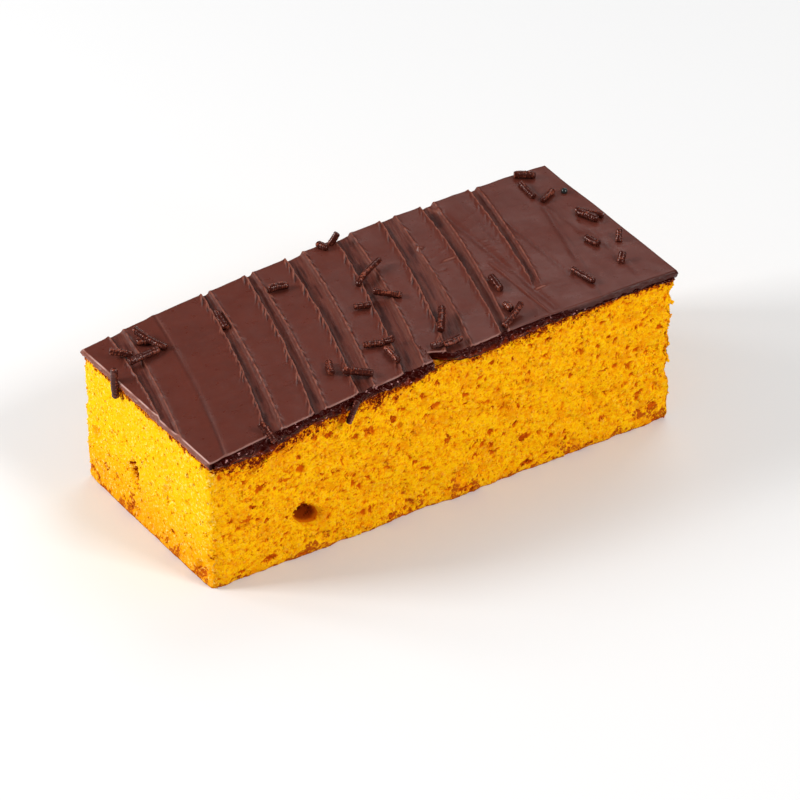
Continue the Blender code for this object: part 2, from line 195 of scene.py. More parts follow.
# Darker spots in the crumb: place along the face, height, half width and half height, all
# in millimetres, and how dark they are.
FRONT_SPOTS = (
    (-47.6, 33.5, 0.6, 1.0, 0.9), (-42.6, 37.9, 0.8, 0.7, 1.0), (-38.4, 37.1, 1.5, 0.8, 1.0),
    (-36.0, 35.3, 0.5, 0.5, 0.9), (-32.6, 40.2, 2.2, 1.3, 0.85), (-25.5, 33.6, 2.4, 1.8, 0.45),
    (-26.2, 36.7, 0.5, 0.5, 0.9), (-17.8, 34.5, 0.9, 1.3, 0.8), (-5.5, 34.0, 1.0, 0.8, 0.75),
    (-3.5, 40.8, 0.9, 1.3, 1.0), (-62.2, 23.0, 1.1, 0.5, 0.9), (-69.2, 21.0, 1.0, 0.4, 0.9),
    (-61.1, 19.1, 0.5, 0.5, 0.9), (-58.5, 17.2, 0.8, 0.6, 0.9), (-51.5, 15.2, 0.6, 0.6, 1.0),
    (-63.7, 31.6, 1.0, 0.3, 0.8), (-59.5, 28.8, 2.8, 0.9, 0.45), (-52.5, 27.8, 3.2, 0.8, 0.40),
    (-64.0, 19.8, 2.6, 1.3, 0.40), (-30.6, 21.2, 0.8, 0.6, 0.8), (-19.6, 19.9, 1.0, 1.0, 0.55),
    (-11.0, 17.8, 1.2, 1.0, 0.65), (-25.1, 7.6, 0.8, 1.1, 0.8), (-34.2, 17.5, 1.8, 0.8, 0.40),
    (-40.0, 23.5, 1.5, 0.8, 0.50), (-57.5, 4.3, 2.6, 1.2, 0.8), (-42.6, 5.8, 1.0, 0.7, 0.7),
    (-53.3, 9.0, 0.5, 0.4, 0.7), (-19.0, 3.2, 1.8, 0.8, 0.8), (-0.6, 21.8, 1.0, 2.0, 0.60),
    (5.2, 31.1, 1.2, 0.4, 0.7), (6.3, 25.1, 0.6, 0.5, 0.8), (13.6, 26.4, 1.5, 0.3, 0.8),
    (14.1, 40.8, 0.7, 0.8, 1.0), (20.6, 40.3, 0.5, 0.7, 1.0), (25.6, 33.7, 1.1, 0.4, 0.8),
    (32.4, 42.3, 0.7, 0.8, 0.8), (22.6, 23.8, 0.7, 0.8, 0.7), (21.9, 18.1, 1.0, 1.0, 0.8),
    (8.9, 17.5, 0.4, 0.5, 0.8), (13.8, 14.2, 0.7, 1.4, 0.65), (8.9, 12.6, 1.2, 1.0, 0.60),
    (25.0, 12.4, 2.2, 1.2, 0.9), (18.0, 16.0, 1.0, 0.6, 0.6), (33.9, 10.0, 1.0, 0.8, 0.5),
    (38.4, 7.4, 0.8, 0.6, 0.7), (50.9, 9.0, 1.4, 0.9, 0.55), (47.2, 12.0, 0.9, 0.7, 0.6),
    (44.6, 21.7, 0.7, 0.6, 0.65), (52.5, 36.0, 1.1, 0.8, 0.75), (55.3, 29.0, 0.6, 0.9, 0.6),
    (59.2, 29.3, 0.7, 0.6, 0.7), (51.4, 25.1, 1.8, 0.6, 0.55), (40.2, 27.0, 1.1, 0.9, 0.5),
    (68.5, 6.8, 2.0, 1.3, 0.8), (72.5, 29.8, 1.0, 1.4, 0.7), (26.0, 3.6, 2.4, 1.0, 0.9),
    (4.7, 3.0, 1.6, 0.8, 0.8),
)
# The first five left-end spots lie along the gash: painted shade inside it.
LEFT_SPOTS = (
    (6.8, 13.0, 1.3, 0.6, 1.1), (7.9, 14.2, 0.9, 1.1, 1.3), (8.6, 15.8, 0.8, 1.3, 1.3),
    (9.4, 17.6, 0.5, 1.1, 1.0), (11.2, 15.6, 1.6, 2.4, 0.30), (23.4, 8.8, 1.4, 1.1, 0.9),
    (-11.0, 7.5, 0.9, 0.9, 0.7), (-29.5, 10.5, 1.6, 1.0, 0.5), (-29.5, 37.8, 0.9, 0.4, 0.9),
    (16.5, 8.5, 2.4, 1.2, 0.4), (13.5, 37.5, 1.4, 1.2, 0.7), (27.0, 38.8, 1.2, 0.7, 0.8),
    (9.0, 7.6, 0.6, 0.5, 0.8),
)
# Along the front: x, how low the wet chocolate reaches, and how low it stains the crumb,
# in millimetres.
RIM_EDGE = (
    (-75.0, 39.2, 37.8), (-72.0, 38.6, 37.3), (-68.0, 39.0, 36.4), (-64.0, 38.6, 36.0),
    (-60.0, 38.3, 35.2), (-56.0, 38.2, 36.8), (-52.0, 39.2, 37.6), (-48.0, 41.2, 39.0),
    (-44.0, 41.5, 39.8), (-40.0, 41.0, 39.4), (-34.0, 41.6, 40.0), (-28.0, 42.8, 41.2),
    (-23.0, 43.2, 40.6), (-18.0, 43.8, 41.4), (-12.0, 44.2, 42.0), (-6.0, 45.0, 43.8),
    (0.0, 47.0, 45.8), (5.0, 46.4, 44.8), (10.0, 45.4, 43.6), (15.0, 45.9, 44.2),
    (22.0, 46.0, 44.8), (32.0, 46.3, 44.9), (42.0, 46.6, 45.2), (60.0, 46.9, 45.7),
    (76.0, 46.6, 45.5),
)
WET_COLUMN, STAIN_COLUMN = 1, 2

# ---- Fine form of the crumb --------------------------------------------------------
CORNER_RADIUS = 0.0009
# How far inside the edge the rings of the sponge's top lie, and how deep it is dimpled.
TOP_RINGS = (0.0004, 0.0008, 0.0012, 0.0016, 0.0021, 0.0026, 0.0032, 0.0038, 0.0045, 0.0054)
TOP_DIMPLES = 0.0004
BEND_HEIGHT, BEND_LENGTH = 0.0011, 0.0022       # of the bends in the crumb's pattern
FINE_BEND_HEIGHT, FINE_BEND_LENGTH = 0.0005, 0.0009
FINE_CLUMPS, SMALL_PORES = 0.56, 0.52           # spacing, next to that of the large ones
PORELESS = 0.55                 # share of the scattered centres that have no pore
CRACK_LENGTH, CRACK_ZONES = 0.0034, 0.0075      # waves of a crack, and size of cracked places
LEFT_RELIEF, LEFT_WAVES = 0.26, 0.30            # what a clean cut leaves on the left end
LEFT_FADE = 0.0028              # how far the clean cut's look reaches round its corners
SPOT_DEPTH = 0.0006
SHALLOWEST = 0.00005            # the crumb stays this far inside the cut
CORNER_TEAR, DEEPER_TEAR = 0.0004, 0.0016       # how far the corners are torn in
TEAR_WIDTH, NOTCH_WIDTH = 0.0021, 0.0024
RIGHT_TEAR, FRONT_LEFT_TEAR, BACK_LEFT_TEAR = 1.0, 1.1, 0.25
# Notches in the right corners: height, half height and depth.
NOTCHES = (
    (0.0415, 0.0015, 0.0017),
    (0.0358, 0.0009, 0.0011),
    (0.0222, 0.0011, 0.0013),
    (0.0160, 0.0009, 0.0012),
)
SIDE_STAIN = 0.0011             # how low the chocolate stains the back and the ends
SKIN_REACH = (0.0010, 0.0044)   # how high the browned skin reaches, least and most
SKIN_LIMIT = 0.008

# ---- Fine form of the icing --------------------------------------------------------
LEFT_WALL, RIGHT_WALL = 0.00050, 0.00075        # steep and softer side of a comb mark
LEFT_WANDER, RIGHT_WANDER = 0.00032, 0.00014    # how far its crests stray
CREST_WIDTH = 0.00028
LEFT_CREST, RIGHT_CREST = 0.00034, 0.00024      # rise of the sharp crests
LEFT_SHOULDER, RIGHT_SHOULDER = 0.00022, 0.00016        # rise of the soft shoulders
# Torn strokes beside the left and the right crest: slope in degrees, reach and strength.
BARBS = ((24.0, 0.0022, 1.0), (22.0, 0.0013, 0.8))
BARB_PITCH = 0.0038
BARB_RISE, BARB_FALL = 0.00030, 0.00022         # of its ridge and of the furrow beside it
RIDGE_WIDTH, FURROW_WIDTH, FURROW_ASIDE = 0.00032, 0.00036, 0.00062
COLUMN_PITCH = 0.00072
FINE_LINES, FINE_PITCH = (0.0290, 0.0440), 0.00036      # where thin marks lie between the rest
EDGE_ROUND, EDGE_RINGS = 0.0005, 5
WALL_RINGS = 9
RIM_HANG = 0.0004               # how far the rim hangs over the sponge
WET_END = 0.0440                # x where the dark wet part of the front rim ends
UNDER_RING = 0.0030             # how far under the slice's edge the last ring lies
COMB_TURN = math.atan2(0.0183, DEPTH)           # the comb marks' lean from the Y axis
COMB_STRETCH = (1.0, 0.05, 0.3)

MERGE = 1e-7


# ---- Numbers over arrays -----------------------------------------------------------
def eased(values):
    """0 to 1 with a soft start and end."""
    t = np.clip(values, 0.0, 1.0)
    return t * t * (3.0 - 2.0 * t)


def bell(distance, width):
    """1 at no distance, and nearly 0 from two widths on."""
    return np.exp(-(distance / width) ** 2)


def between(low, high, share):
    """Low where share is 0 and high where it is 1."""
    return low + (high - low) * share


def points_of(*axes):
    """Rows of points from arrays, or plain numbers, of x, y and z."""
    return np.stack([np.asarray(axis, float) for axis in np.broadcast_arrays(*axes)], axis=-1)


def smooth_noise(points, length, place=(0.0, 0.0, 0.0)):
    """Soft random values, about -0.6 to 0.6, whose bumps are about as long as length."""
    scaled = points.reshape(-1, 3) / length + np.array(place)
    values = np.array([noise.noise(point) for point in scaled.tolist()])
    return values.reshape(points.shape[:-1])


# Where the noise is read for a soft vector's x, y and z.
SHIFT_PLACES = ((0.0, 0.0, 0.0), (31.0, 17.0, 5.0), (11.0, 43.0, 23.0))
# Factors that turn a place or an index into a random draw.
PLACE_SCRAMBLE, DRAW_SCRAMBLE = (12.9898, 78.233, 37.719), 43758.5453


def smooth_shift(points, length, place=(0.0, 0.0, 0.0)):
    """Soft random vectors, to bend a pattern with, always the same ones."""
    parts = [smooth_noise(points, length, np.add(place, apart)) for apart in SHIFT_PLACES]
    return np.stack(parts, axis=-1)


def scatter_noise(points, spacing, place=(0.0, 0.0, 0.0)):
    """Distance to the nearest of many scattered centres, in spacings, and a random number
    from 0 to 1 that belongs to that centre."""
    scaled = points.reshape(-1, 3) / spacing + np.array(place)
    found = [noise.voronoi(point) for point in scaled.tolist()]
    near = np.array([distances[0] for distances, _ in found])
    centres = np.array([centres[0] for _, centres in found])
    draw = fraction(centres @ PLACE_SCRAMBLE)
    shape = points.shape[:-1]
    return near.reshape(shape), draw.reshape(shape)


def fraction(values):
    """A random number from 0 to 1 for each value, always the same one."""
    spread = np.sin(values) * DRAW_SCRAMBLE
    return spread - np.floor(spread)


def shade_of(colour, strength):
    """A darker or lighter shade of a colour."""
    return tuple(strength * part for part in colour)


# ---- Shape of the whole slice ------------------------------------------------------
def along(x):
    """0 at the left end and 1 at the right."""
    return x / LENGTH + 0.5


def across(y):
    """0 at the front and 1 at the back."""
    return y / DEPTH + 0.5


def icing_top(x):
    """Height of the icing between the comb marks."""
    t = along(x)
    return between(LEFT_HEIGHT, RIGHT_HEIGHT, t) + 4.0 * CROWN * t * (1.0 - t)


def icing_underside(x, y):
    """Height of the face that sponge and icing share."""
    thickness = between(LEFT_ICING, ICING, eased(along(x) * LENGTH / LEFT_THINNING))
    pressed = sum(depth * bell(x - place, width) for place, depth, width in PRESSED)
    nearness = np.clip(1.0 - (y - FRONT) / PRESSED_REACH, 0.0, 1.0)
    return icing_top(x) - thickness - pressed * nearness ** 2


def bowed_line(front, back, y):
    """x of a comb mark at y."""
    t = across(y)
    return between(front, back, t) + 4.0 * BOW * t * (1.0 - t)


def torn_back(x):
    """How far the icing's front edge is torn back at x."""
    wall = eased((x - BITE_LEFT) / BITE_WALL + 1.0)
    return BITE_DEPTH * wall * eased(1.0 - (x - BITE_LEFT) / BITE_WIDTH)


def placed(x, y, z):
    """Points of the square-cut slice where its ends are a little off square."""
    t = along(x)
    skewed = x + (-LEFT_SKEW * (1.0 - t) + RIGHT_SKEW * t) * y / BACK
    return points_of(skewed, y, z) + CENTRE_SHIFT


def outline(distance):
    """x, y and outward direction on the slice's plan, at distances round it that start at
    the front left corner and run along the front."""
    turns = np.radians(np.arange(0.0, 91.0, 15.0))
    corners = ((1, -1, -90.0), (1, 1, 0.0), (-1, 1, 90.0), (-1, -1, 180.0))
    rows = []
    for side_x, side_y, start in corners:
        angle = turns + math.radians(start)
        outward_x, outward_y = np.cos(angle), np.sin(angle)
        x = side_x * (LENGTH / 2 - CORNER_RADIUS) + CORNER_RADIUS * outward_x
        y = side_y * (DEPTH / 2 - CORNER_RADIUS) + CORNER_RADIUS * outward_y
        rows.append(np.stack((x, y, outward_x, outward_y), axis=-1))
    rows = np.concatenate((rows[-1][-1:], *rows))
    steps = np.hypot(*np.diff(rows[:, :2], axis=0).T)
    reached = np.concatenate(((0.0,), np.cumsum(steps)))
    turned = np.mod(distance, 1.0) * reached[-1]
    return [np.interp(turned, reached, column) for column in rows.T]


OUTLINE_LENGTH = 2.0 * (LENGTH + DEPTH) - (8.0 - 2.0 * math.pi) * CORNER_RADIUS


# ---- Mesh helpers ------------------------------------------------------------------
def grid_faces(columns, rows, closed=False):
    """Quads of a grid of points that is stored row by row."""
    wide = columns if closed else columns - 1
    start = np.arange(rows - 1)[:, None] * columns
    here = start + np.arange(wide)
    beside = start + (np.arange(wide) + 1) % columns
    return np.stack((here, beside, beside + columns, here + columns), axis=-1).reshape(-1, 4)


def make_piece(name, points, faces, values=None, materials=()):
    """An object from points and faces, with a number for each point under each name in
    values. It rides on the slice."""
    mesh = bpy.data.meshes.new(name)
    mesh.from_pydata(points.reshape(-1, 3).tolist(), [], faces)
    for value_name, numbers in (values or {}).items():
        layer = mesh.attributes.new(value_name, "FLOAT", "POINT")
        layer.data.foreach_set("value", np.asarray(numbers, np.float32).ravel())
    mesh.shade_smooth()
    for material in materials:
        mesh.materials.append(material)
    piece = bpy.data.objects.new(name, mesh)
    bpy.context.scene.collection.objects.link(piece)
    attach(piece, "root")
    return piece


def weld(mesh):
    """Join the points that lie on one another, and drop the faces that this empties."""
    bm = bmesh.new()
    bm.from_mesh(mesh)
    bmesh.ops.remove_doubles(bm, verts=bm.verts, dist=MERGE)
    bm.to_mesh(mesh)
    bm.free()


def random_turns(draw, count):
    """Rotation matrices that point every way alike."""
    quarter = draw.normal(size=(count, 4))
    w, x, y, z = (quarter / np.linalg.norm(quarter, axis=1)[:, None]).T
    rows = (
        (1 - 2 * (y * y + z * z), 2 * (x * y - z * w), 2 * (x * z + y * w)),
        (2 * (x * y + z * w), 1 - 2 * (x * x + z * z), 2 * (y * z - x * w)),
        (2 * (x * z - y * w), 2 * (y * z + x * w), 1 - 2 * (x * x + y * y)),
    )
    return np.stack([np.stack(row, axis=-1) for row in rows], axis=1)

LUMP_KINDS = 12
LUMP_ROUGHNESS, LUMP_BUMPS = 0.9, 0.9           # height and length of a lump's bumps, in radii


def lump_shapes(draw, subdivisions):
    """Points of several uneven lumps, and the triangles that they all share."""
    bm = bmesh.new()
    bmesh.ops.create_icosphere(bm, subdivisions=subdivisions, radius=1.0)
    ball = np.array([vert.co for vert in bm.verts])
    faces = np.array([[vert.index for vert in face.verts] for face in bm.faces])
    bm.free()
    shapes = []
    for _ in range(LUMP_KINDS):
        bumps = smooth_noise(ball, LUMP_BUMPS, draw.uniform(-50.0, 50.0, 3))
        shapes.append(ball * (1.0 + LUMP_ROUGHNESS * bumps)[:, None])
    return np.array(shapes), faces


def scattered_lumps(draw, places, sizes, subdivisions):
    """Points and triangles of one lump at each place. A size is three half axes."""
    shapes, faces = lump_shapes(draw, subdivisions)
    count = len(places)
    chosen = shapes[draw.integers(0, len(shapes), count)] * sizes[:, None, :]
    turned = np.einsum("nij,nkj->nki", random_turns(draw, count), chosen)
    points = turned + places[:, None, :]
    step = np.arange(count)[:, None, None] * shapes.shape[1]
    return points.reshape(-1, 3), (faces[None] + step).reshape(-1, 3)


# ---- Properties --------------------------------------------------------------------
def colour_property(name, description, default):
    return FloatVectorProperty(name=name, description=description, default=default, subtype="COLOR")


def length_property(name, description, default):
    return FloatProperty(name=name, description=description, default=default, unit="LENGTH", precision=5)


def power_property(name, description, default):
    return FloatProperty(name=name, description=description, default=default, unit="POWER")


# ---- Materials ---------------------------------------------------------------------
# The Mix node's sockets for its share, its two colours and its result.
MIX_SHARE, MIX_FIRST, MIX_SECOND, MIX_RESULT = 0, 6, 7, 2


class Recipe:
    """A material that starts as one colour, and whose nodes are added one by one."""

    def __init__(self, name, colour, **settings):
        self.material = bpy.data.materials.new(name)
        self.material.use_nodes = True
        self.tree = self.material.node_tree
        self.shader = self.tree.nodes["Principled BSDF"]
        self.colour = colour
        self.feed(self.shader, settings)

    def plug(self, socket, value):
        """Link a socket to the one that value is, or set it to value."""
        if isinstance(value, bpy.types.NodeSocket):
            self.tree.links.new(value, socket)
        else:
            socket.default_value = value

    def feed(self, node, settings):
        """Set or link a node's sockets, named by their labels with _ for a space."""
        for label, value in settings.items():
            self.plug(node.inputs[label.replace("_", " ")], value)

    def add(self, kind, settings=None, **inputs):
        node = self.tree.nodes.new("ShaderNode" + kind)
        for name, value in (settings or {}).items():
            setattr(node, name, value)
        self.feed(node, inputs)
        return node

    def value(self, name):
        return self.add("Attribute", {"attribute_name": name}).outputs["Fac"]

    def place(self):
        return self.add("TexCoord").outputs["Object"]

    def noise(self, length, detail=3.0, roughness=0.55, squash=None, turn=None):
        """Soft random values, after a turn about Z and a squash of the places."""
        place = self.place()
        if turn:
            place = self.add("Mapping", Vector=place, Rotation=(0.0, 0.0, turn)).outputs["Vector"]
        if squash:
            place = self.add("Mapping", Vector=place, Scale=squash).outputs["Vector"]
        made = self.add("TexNoise", Vector=place, Scale=1.0 / length, Detail=detail, Roughness=roughness)
        return made.outputs["Fac"]

    def ramp(self, value, low, high, start=0.0, end=1.0):
        """Value's range from low to high, spread softly from start to end."""
        made = self.add(
            "MapRange", {"interpolation_type": "SMOOTHSTEP"},
            Value=value, From_Min=low, From_Max=high, To_Min=start, To_Max=end,
        )
        return made.outputs["Result"]

    def maths(self, operation, first, second):
        node = self.add("Math", {"operation": operation})
        self.plug(node.inputs[0], first)
        self.plug(node.inputs[1], second)
        return node.outputs[0]

    def times(self, first, second):
        return self.maths("MULTIPLY", first, second)

    def mix(self, share, first, second):
        """A colour between two, which are colours or sockets."""
        node = self.add("Mix", {"data_type": "RGBA"})
        self.plug(node.inputs[MIX_SHARE], share)
        for index, colour in ((MIX_FIRST, first), (MIX_SECOND, second)):
            made = isinstance(colour, bpy.types.NodeSocket)
            self.plug(node.inputs[index], colour if made else (*colour, 1.0))
        return node.outputs[MIX_RESULT]

    def lay(self, share, colour):
        """Cover the colour so far with another, where share is high."""
        self.colour = self.mix(share, self.colour, colour)

    def bump(self, height, distance, strength=1.0, under=None):
        settings = {"Height": height, "Distance": distance, "Strength": strength}
        if under:
            settings["Normal"] = under
        return self.add("Bump", **settings).outputs["Normal"]

    def finish(self, **sockets):
        self.feed(self.shader, {"Base_Color": self.colour, **sockets})
        return self.material


# ---- Sponge ------------------------------------------------------------------------
class SpongeLooks(bpy.types.PropertyGroup):
    facet: length_property("Facet", "Size of the facets on the cut faces", 0.000475)
    grain: length_property("Grain", "Distance between the clumps of the crumb", 0.00125)
    grain_height: length_property("Grain height", "How far the clumps stand out", 0.00046)
    pore_spacing: length_property("Pore spacing", "Distance between the larger pores", 0.0030)
    pore_depth: length_property("Pore depth", "Depth of the larger pores", 0.0008)
    yellow: colour_property("Yellow", "Main colour of the crumb", (0.93, 0.50, 0.002))
    # Orange is the moister patches' own colour, and also painted shade in crevices, creases and low on
    # the left end.
    orange_and_shade: colour_property("Orange", "Colour of the moister patches", (0.76, 0.20, 0.0005))
    # Pale is a painted highlight colour for the raised clumps.
    pale: colour_property(
        "Pale", "Colour of the thin torn walls that catch the light", (0.97, 0.74, 0.20))
    # Pit is painted shade in the hollows, and the colour of the darkest spots.
    pit_shade_and_spot: colour_property("Pit", "Colour deep inside the pores", (0.17, 0.018, 0.0005))
    # Speck colours the fine specks, the spots and the stain's edge, and is painted shade in the pores,
    # hollows and deepest crevices.
    speck_and_pore_shade: colour_property("Speck", "Colour of the small pores", (0.53, 0.075, 0.0008))
    browned: colour_property(
        "Browned", "Colour of the baked skin under the cake", (0.44, 0.085, 0.004))
    stained: colour_property(
        "Stained", "Colour of crumb that is soaked with chocolate", (0.12, 0.011, 0.003))


def cavities():
    """The two placed hollows and small ones spread over the four cut faces, none near the
    top edge."""
    draw = random.Random(CAVITY_SEED)
    found = [BUBBLE, GASH]
    for _ in range(CAVITY_COUNT):
        side = draw.choice(("front", "back", "front", "back", "left", "right"))
        height = draw.uniform(*CAVITY_LEVELS) * LEFT_HEIGHT
        if side in ("front", "back"):
            x = draw.uniform(-0.46, 0.46) * LENGTH
            y = FRONT if side == "front" else BACK
        else:
            y = draw.uniform(-0.44, 0.44) * DEPTH
            x = -LENGTH / 2 if side == "left" else LENGTH / 2
        width = draw.uniform(*CAVITY_RADIUS)
        tall = width * draw.uniform(0.6, 1.0)
        found.append(((x, y, height), width, tall, draw.uniform(*CAVITY_DEPTH), 0.0))
    return found


def cavity_depth(flat):
    """Depth of the hollows at points of the cut faces."""
    depth = np.zeros(flat.shape[:-1])
    for (x, y, z), width, tall, deepest, slant in cavities():
        right, up = flat[..., 0] - x, flat[..., 2] - z
        downhill = right * math.cos(slant) - up * math.sin(slant)
        sideways = np.hypot(downhill, flat[..., 1] - y) / width
        upwards = (right * math.sin(slant) + up * math.cos(slant)) / tall
        bowl = deepest * np.clip(1.3 - sideways ** 2 - upwards ** 2, 0.0, 1.0)
        depth = np.maximum(depth, bowl)
    return depth


def crumb_inset(flat):
    """How far the crumb lies inside the plane of the cut, its hollows left aside."""
    wave = WAVE_HEIGHT * smooth_noise(flat, WAVE_LENGTH)
    crumb = CRUMB_HEIGHT * smooth_noise(flat, CRUMB_LENGTH, CRUMB_PLACE)
    foot = FOOT_INSET * np.clip(1.0 - flat[..., 2] / FOOT_HEIGHT, 0.0, 1.0)
    return np.maximum(LEAST_INSET, CUT_INSET + wave + crumb) + foot


def rim_edge(x, column):
    """Height of the lower edge of the wet chocolate, or of its stain, on the front face."""
    table = np.array(RIM_EDGE) / 1000.0
    return np.interp(x, table[:, 0], table[:, column])


def spots(flat, outward_x, outward_y):
    """How much each point is part of a darker spot. The back and the right end have the
    front's spots again, turned about or moved."""
    bent = flat + 0.0009 * smooth_shift(flat, 0.0014, (3.0, 8.0, 2.0))
    bent = 1000.0 * (bent + 0.0004 * smooth_shift(flat, 0.0005))
    place = np.where(outward_y > 0.5, -bent[..., 0], bent[..., 0])
    place = np.where(outward_x > 0.5, 1.1 * bent[..., 1] + 20.0, place)
    height = np.where(outward_y < -0.5, bent[..., 2], 0.9 * bent[..., 2] + 2.0)
    on_left = outward_x < -0.5
    faces = (
        (FRONT_SPOTS, ~on_left, place - 0.5, height + 0.7),
        (LEFT_SPOTS, on_left, bent[..., 1] + 1.0, bent[..., 2]),
    )
    found = np.zeros(on_left.shape)
    for table, on_face, sideways, level in faces:
        for middle, up, half_width, half_height, strength in table:
            away = np.hypot((sideways - middle) / half_width, (level - up) / half_height)
            found = np.maximum(found, on_face * strength * eased(1.35 - 1.10 * away))
    return found


def clumps(points, spacing, least, place=(0.0, 0.0, 0.0)):
    """Rounded clumps, whose heights run from least to 1."""
    near, draw = scatter_noise(points, spacing, place)
    return eased(1.05 - near) * between(least, 1.0, draw)


def crumb_texture(flat, looks):
    """Height of the crumb's fine relief at points of the cut faces, and how much each of
    them is a clump, a fine clump, a large pore, and a small pore or a crack."""
    bent = flat + BEND_HEIGHT * smooth_shift(flat, BEND_LENGTH)
    bent = bent + FINE_BEND_HEIGHT * smooth_shift(flat, FINE_BEND_LENGTH)
    clump = clumps(bent, looks.grain, 0.45)
    fine = clumps(bent, FINE_CLUMPS * looks.grain, 0.40, (3.0, 9.0, 1.0))
    wide = bent * (1.0, 1.0, 1.35)
    near, draw = scatter_noise(wide, looks.pore_spacing, (5.0, 2.0, 8.0))
    size = 0.12 + 0.26 * np.clip(draw * 1.9 - 0.9, 0.0, 1.0) ** 1.5
    pore = eased((size - near) / 0.13 + 0.4) * (draw > PORELESS)
    near, draw = scatter_noise(wide, SMALL_PORES * looks.pore_spacing, (1.0, 7.0, 4.0))
    small = eased((0.27 * draw - near) / 0.14 + 0.4) * (draw > PORELESS)
    line = np.abs(smooth_noise(bent * (1.0, 1.0, 1.7), CRACK_LENGTH, (2.0, 6.0, 9.0)))
    zone = smooth_noise(flat, CRACK_ZONES, (8.0, 1.0, 3.0))
    crack = eased(1.0 - line / 0.040) * eased((zone - 0.08) / 0.16)
    relief = looks.grain_height * (clump - 0.45) + 0.4 * looks.grain_height * (fine - 0.45)
    relief -= looks.pore_depth * pore + 0.5 * looks.pore_depth * np.maximum(small, 0.8 * crack)
    return relief, clump, fine, pore, np.maximum(small, crack)


def corner_tear(x, y, outward_x, flat):
    """How far the crumb is torn in at the upright corners."""
    corner = np.maximum(LENGTH / 2 - np.abs(x), DEPTH / 2 - np.abs(y))
    nicked = smooth_noise(flat * (0.3, 0.3, 1.0), 0.0030, (2.0, 2.0, 5.0))
    nicked = nicked + 0.5 * smooth_noise(flat, 0.0012)
    torn = bell(corner, TEAR_WIDTH) * (CORNER_TEAR + DEEPER_TEAR * eased(0.1 + 2.2 * nicked))
    torn *= np.where(x > 0.0, RIGHT_TEAR, np.where(y < 0.0, FRONT_LEFT_TEAR, BACK_LEFT_TEAR))
    notched = sum(depth * bell(flat[..., 2] - level, tall) for level, tall, depth in NOTCHES)
    return torn + bell(corner, NOTCH_WIDTH) * notched * (outward_x >= 0.0) * (x > 0.0)


def chocolate_stain(x, outward_y, flat, under):
    """How much chocolate has soaked into each point under the icing."""
    reach = between(SIDE_STAIN, under - rim_edge(x, STAIN_COLUMN), np.clip(-outward_y, 0.0, 1.0))
    ragged = smooth_noise(flat, 0.0017, (4.0, 4.0, 4.0)) + 0.6 * smooth_noise(flat, 0.0006)
    return eased(1.15 - 0.75 * (under - flat[..., 2]) / reach + 1.1 * ragged)


def browned_skin(flat):
    """How much each point is part of the baked skin, which reaches higher in patches."""
    ragged = smooth_noise(flat, 0.0035, (6.0, 2.0, 2.0)) + 0.8 * smooth_noise(flat, 0.0012)
    patch = eased(0.4 + 2.4 * smooth_noise(flat * (1.0, 1.0, 0.0), 0.009, (5.0, 1.0, 7.0)))
    skin = eased(0.75 - flat[..., 2] / between(*SKIN_REACH, patch) + 2.6 * ragged)
    return skin * (flat[..., 2] < SKIN_LIMIT)


def crumb_surface(share, rise, looks):
    """Points of the torn crumb at shares of the way round and heights from 0 to 1, its
    outward directions, and the numbers that its colours follow."""
    share, rise = np.broadcast_arrays(share, rise)
    x, y, outward_x, outward_y = outline(share)
    under = icing_underside(x, y) - CLEARANCE / 2
    flat = points_of(x, y, rise * under)
    level = flat[..., 2]
    on_left = np.clip(-outward_x, 0.0, 1.0)
    # The front close to the left corner takes part of the left end's dry look, which there stands for a
    # painted highlight along the corner.
    dry = np.maximum(on_left, 0.75 * bell(x + LENGTH / 2, LEFT_FADE))
    relief, clump, fine, pore, small = crumb_texture(flat, looks)
    spot = spots(flat, outward_x, outward_y)
    relief = relief * between(1.0, LEFT_RELIEF, dry) - SPOT_DEPTH * spot
    hollow = cavity_depth(flat)
    inset = hollow + crumb_inset(flat) * between(1.0, LEFT_WAVES, on_left)
    inset = inset - relief * between(0.35, 1.0, eased(level / 0.0012))
    torn = corner_tear(x, y, outward_x, flat) * eased((under - level) / 0.0020)
    inset = np.maximum(inset, SHALLOWEST) + torn
    values = {
        "pore": np.maximum(pore, 0.75 * small),
        "grain": np.clip(0.65 * clump + 0.5 * fine, 0.0, 1.0),
        "stain": chocolate_stain(x, outward_y, flat, under),
        "base": browned_skin(flat),
        # How low the relief lies, which carries painted shade in the crevices.
        "crevice": eased(0.12 - relief / (0.9 * looks.grain_height)),
        "hollow": np.clip(hollow / 0.0030, 0.0, 1.0),
        "dry": dry,
        "spot": spot,
    }
    points = placed(x - inset * outward_x, y - inset * outward_y, level)
    return points, (outward_x, outward_y), values


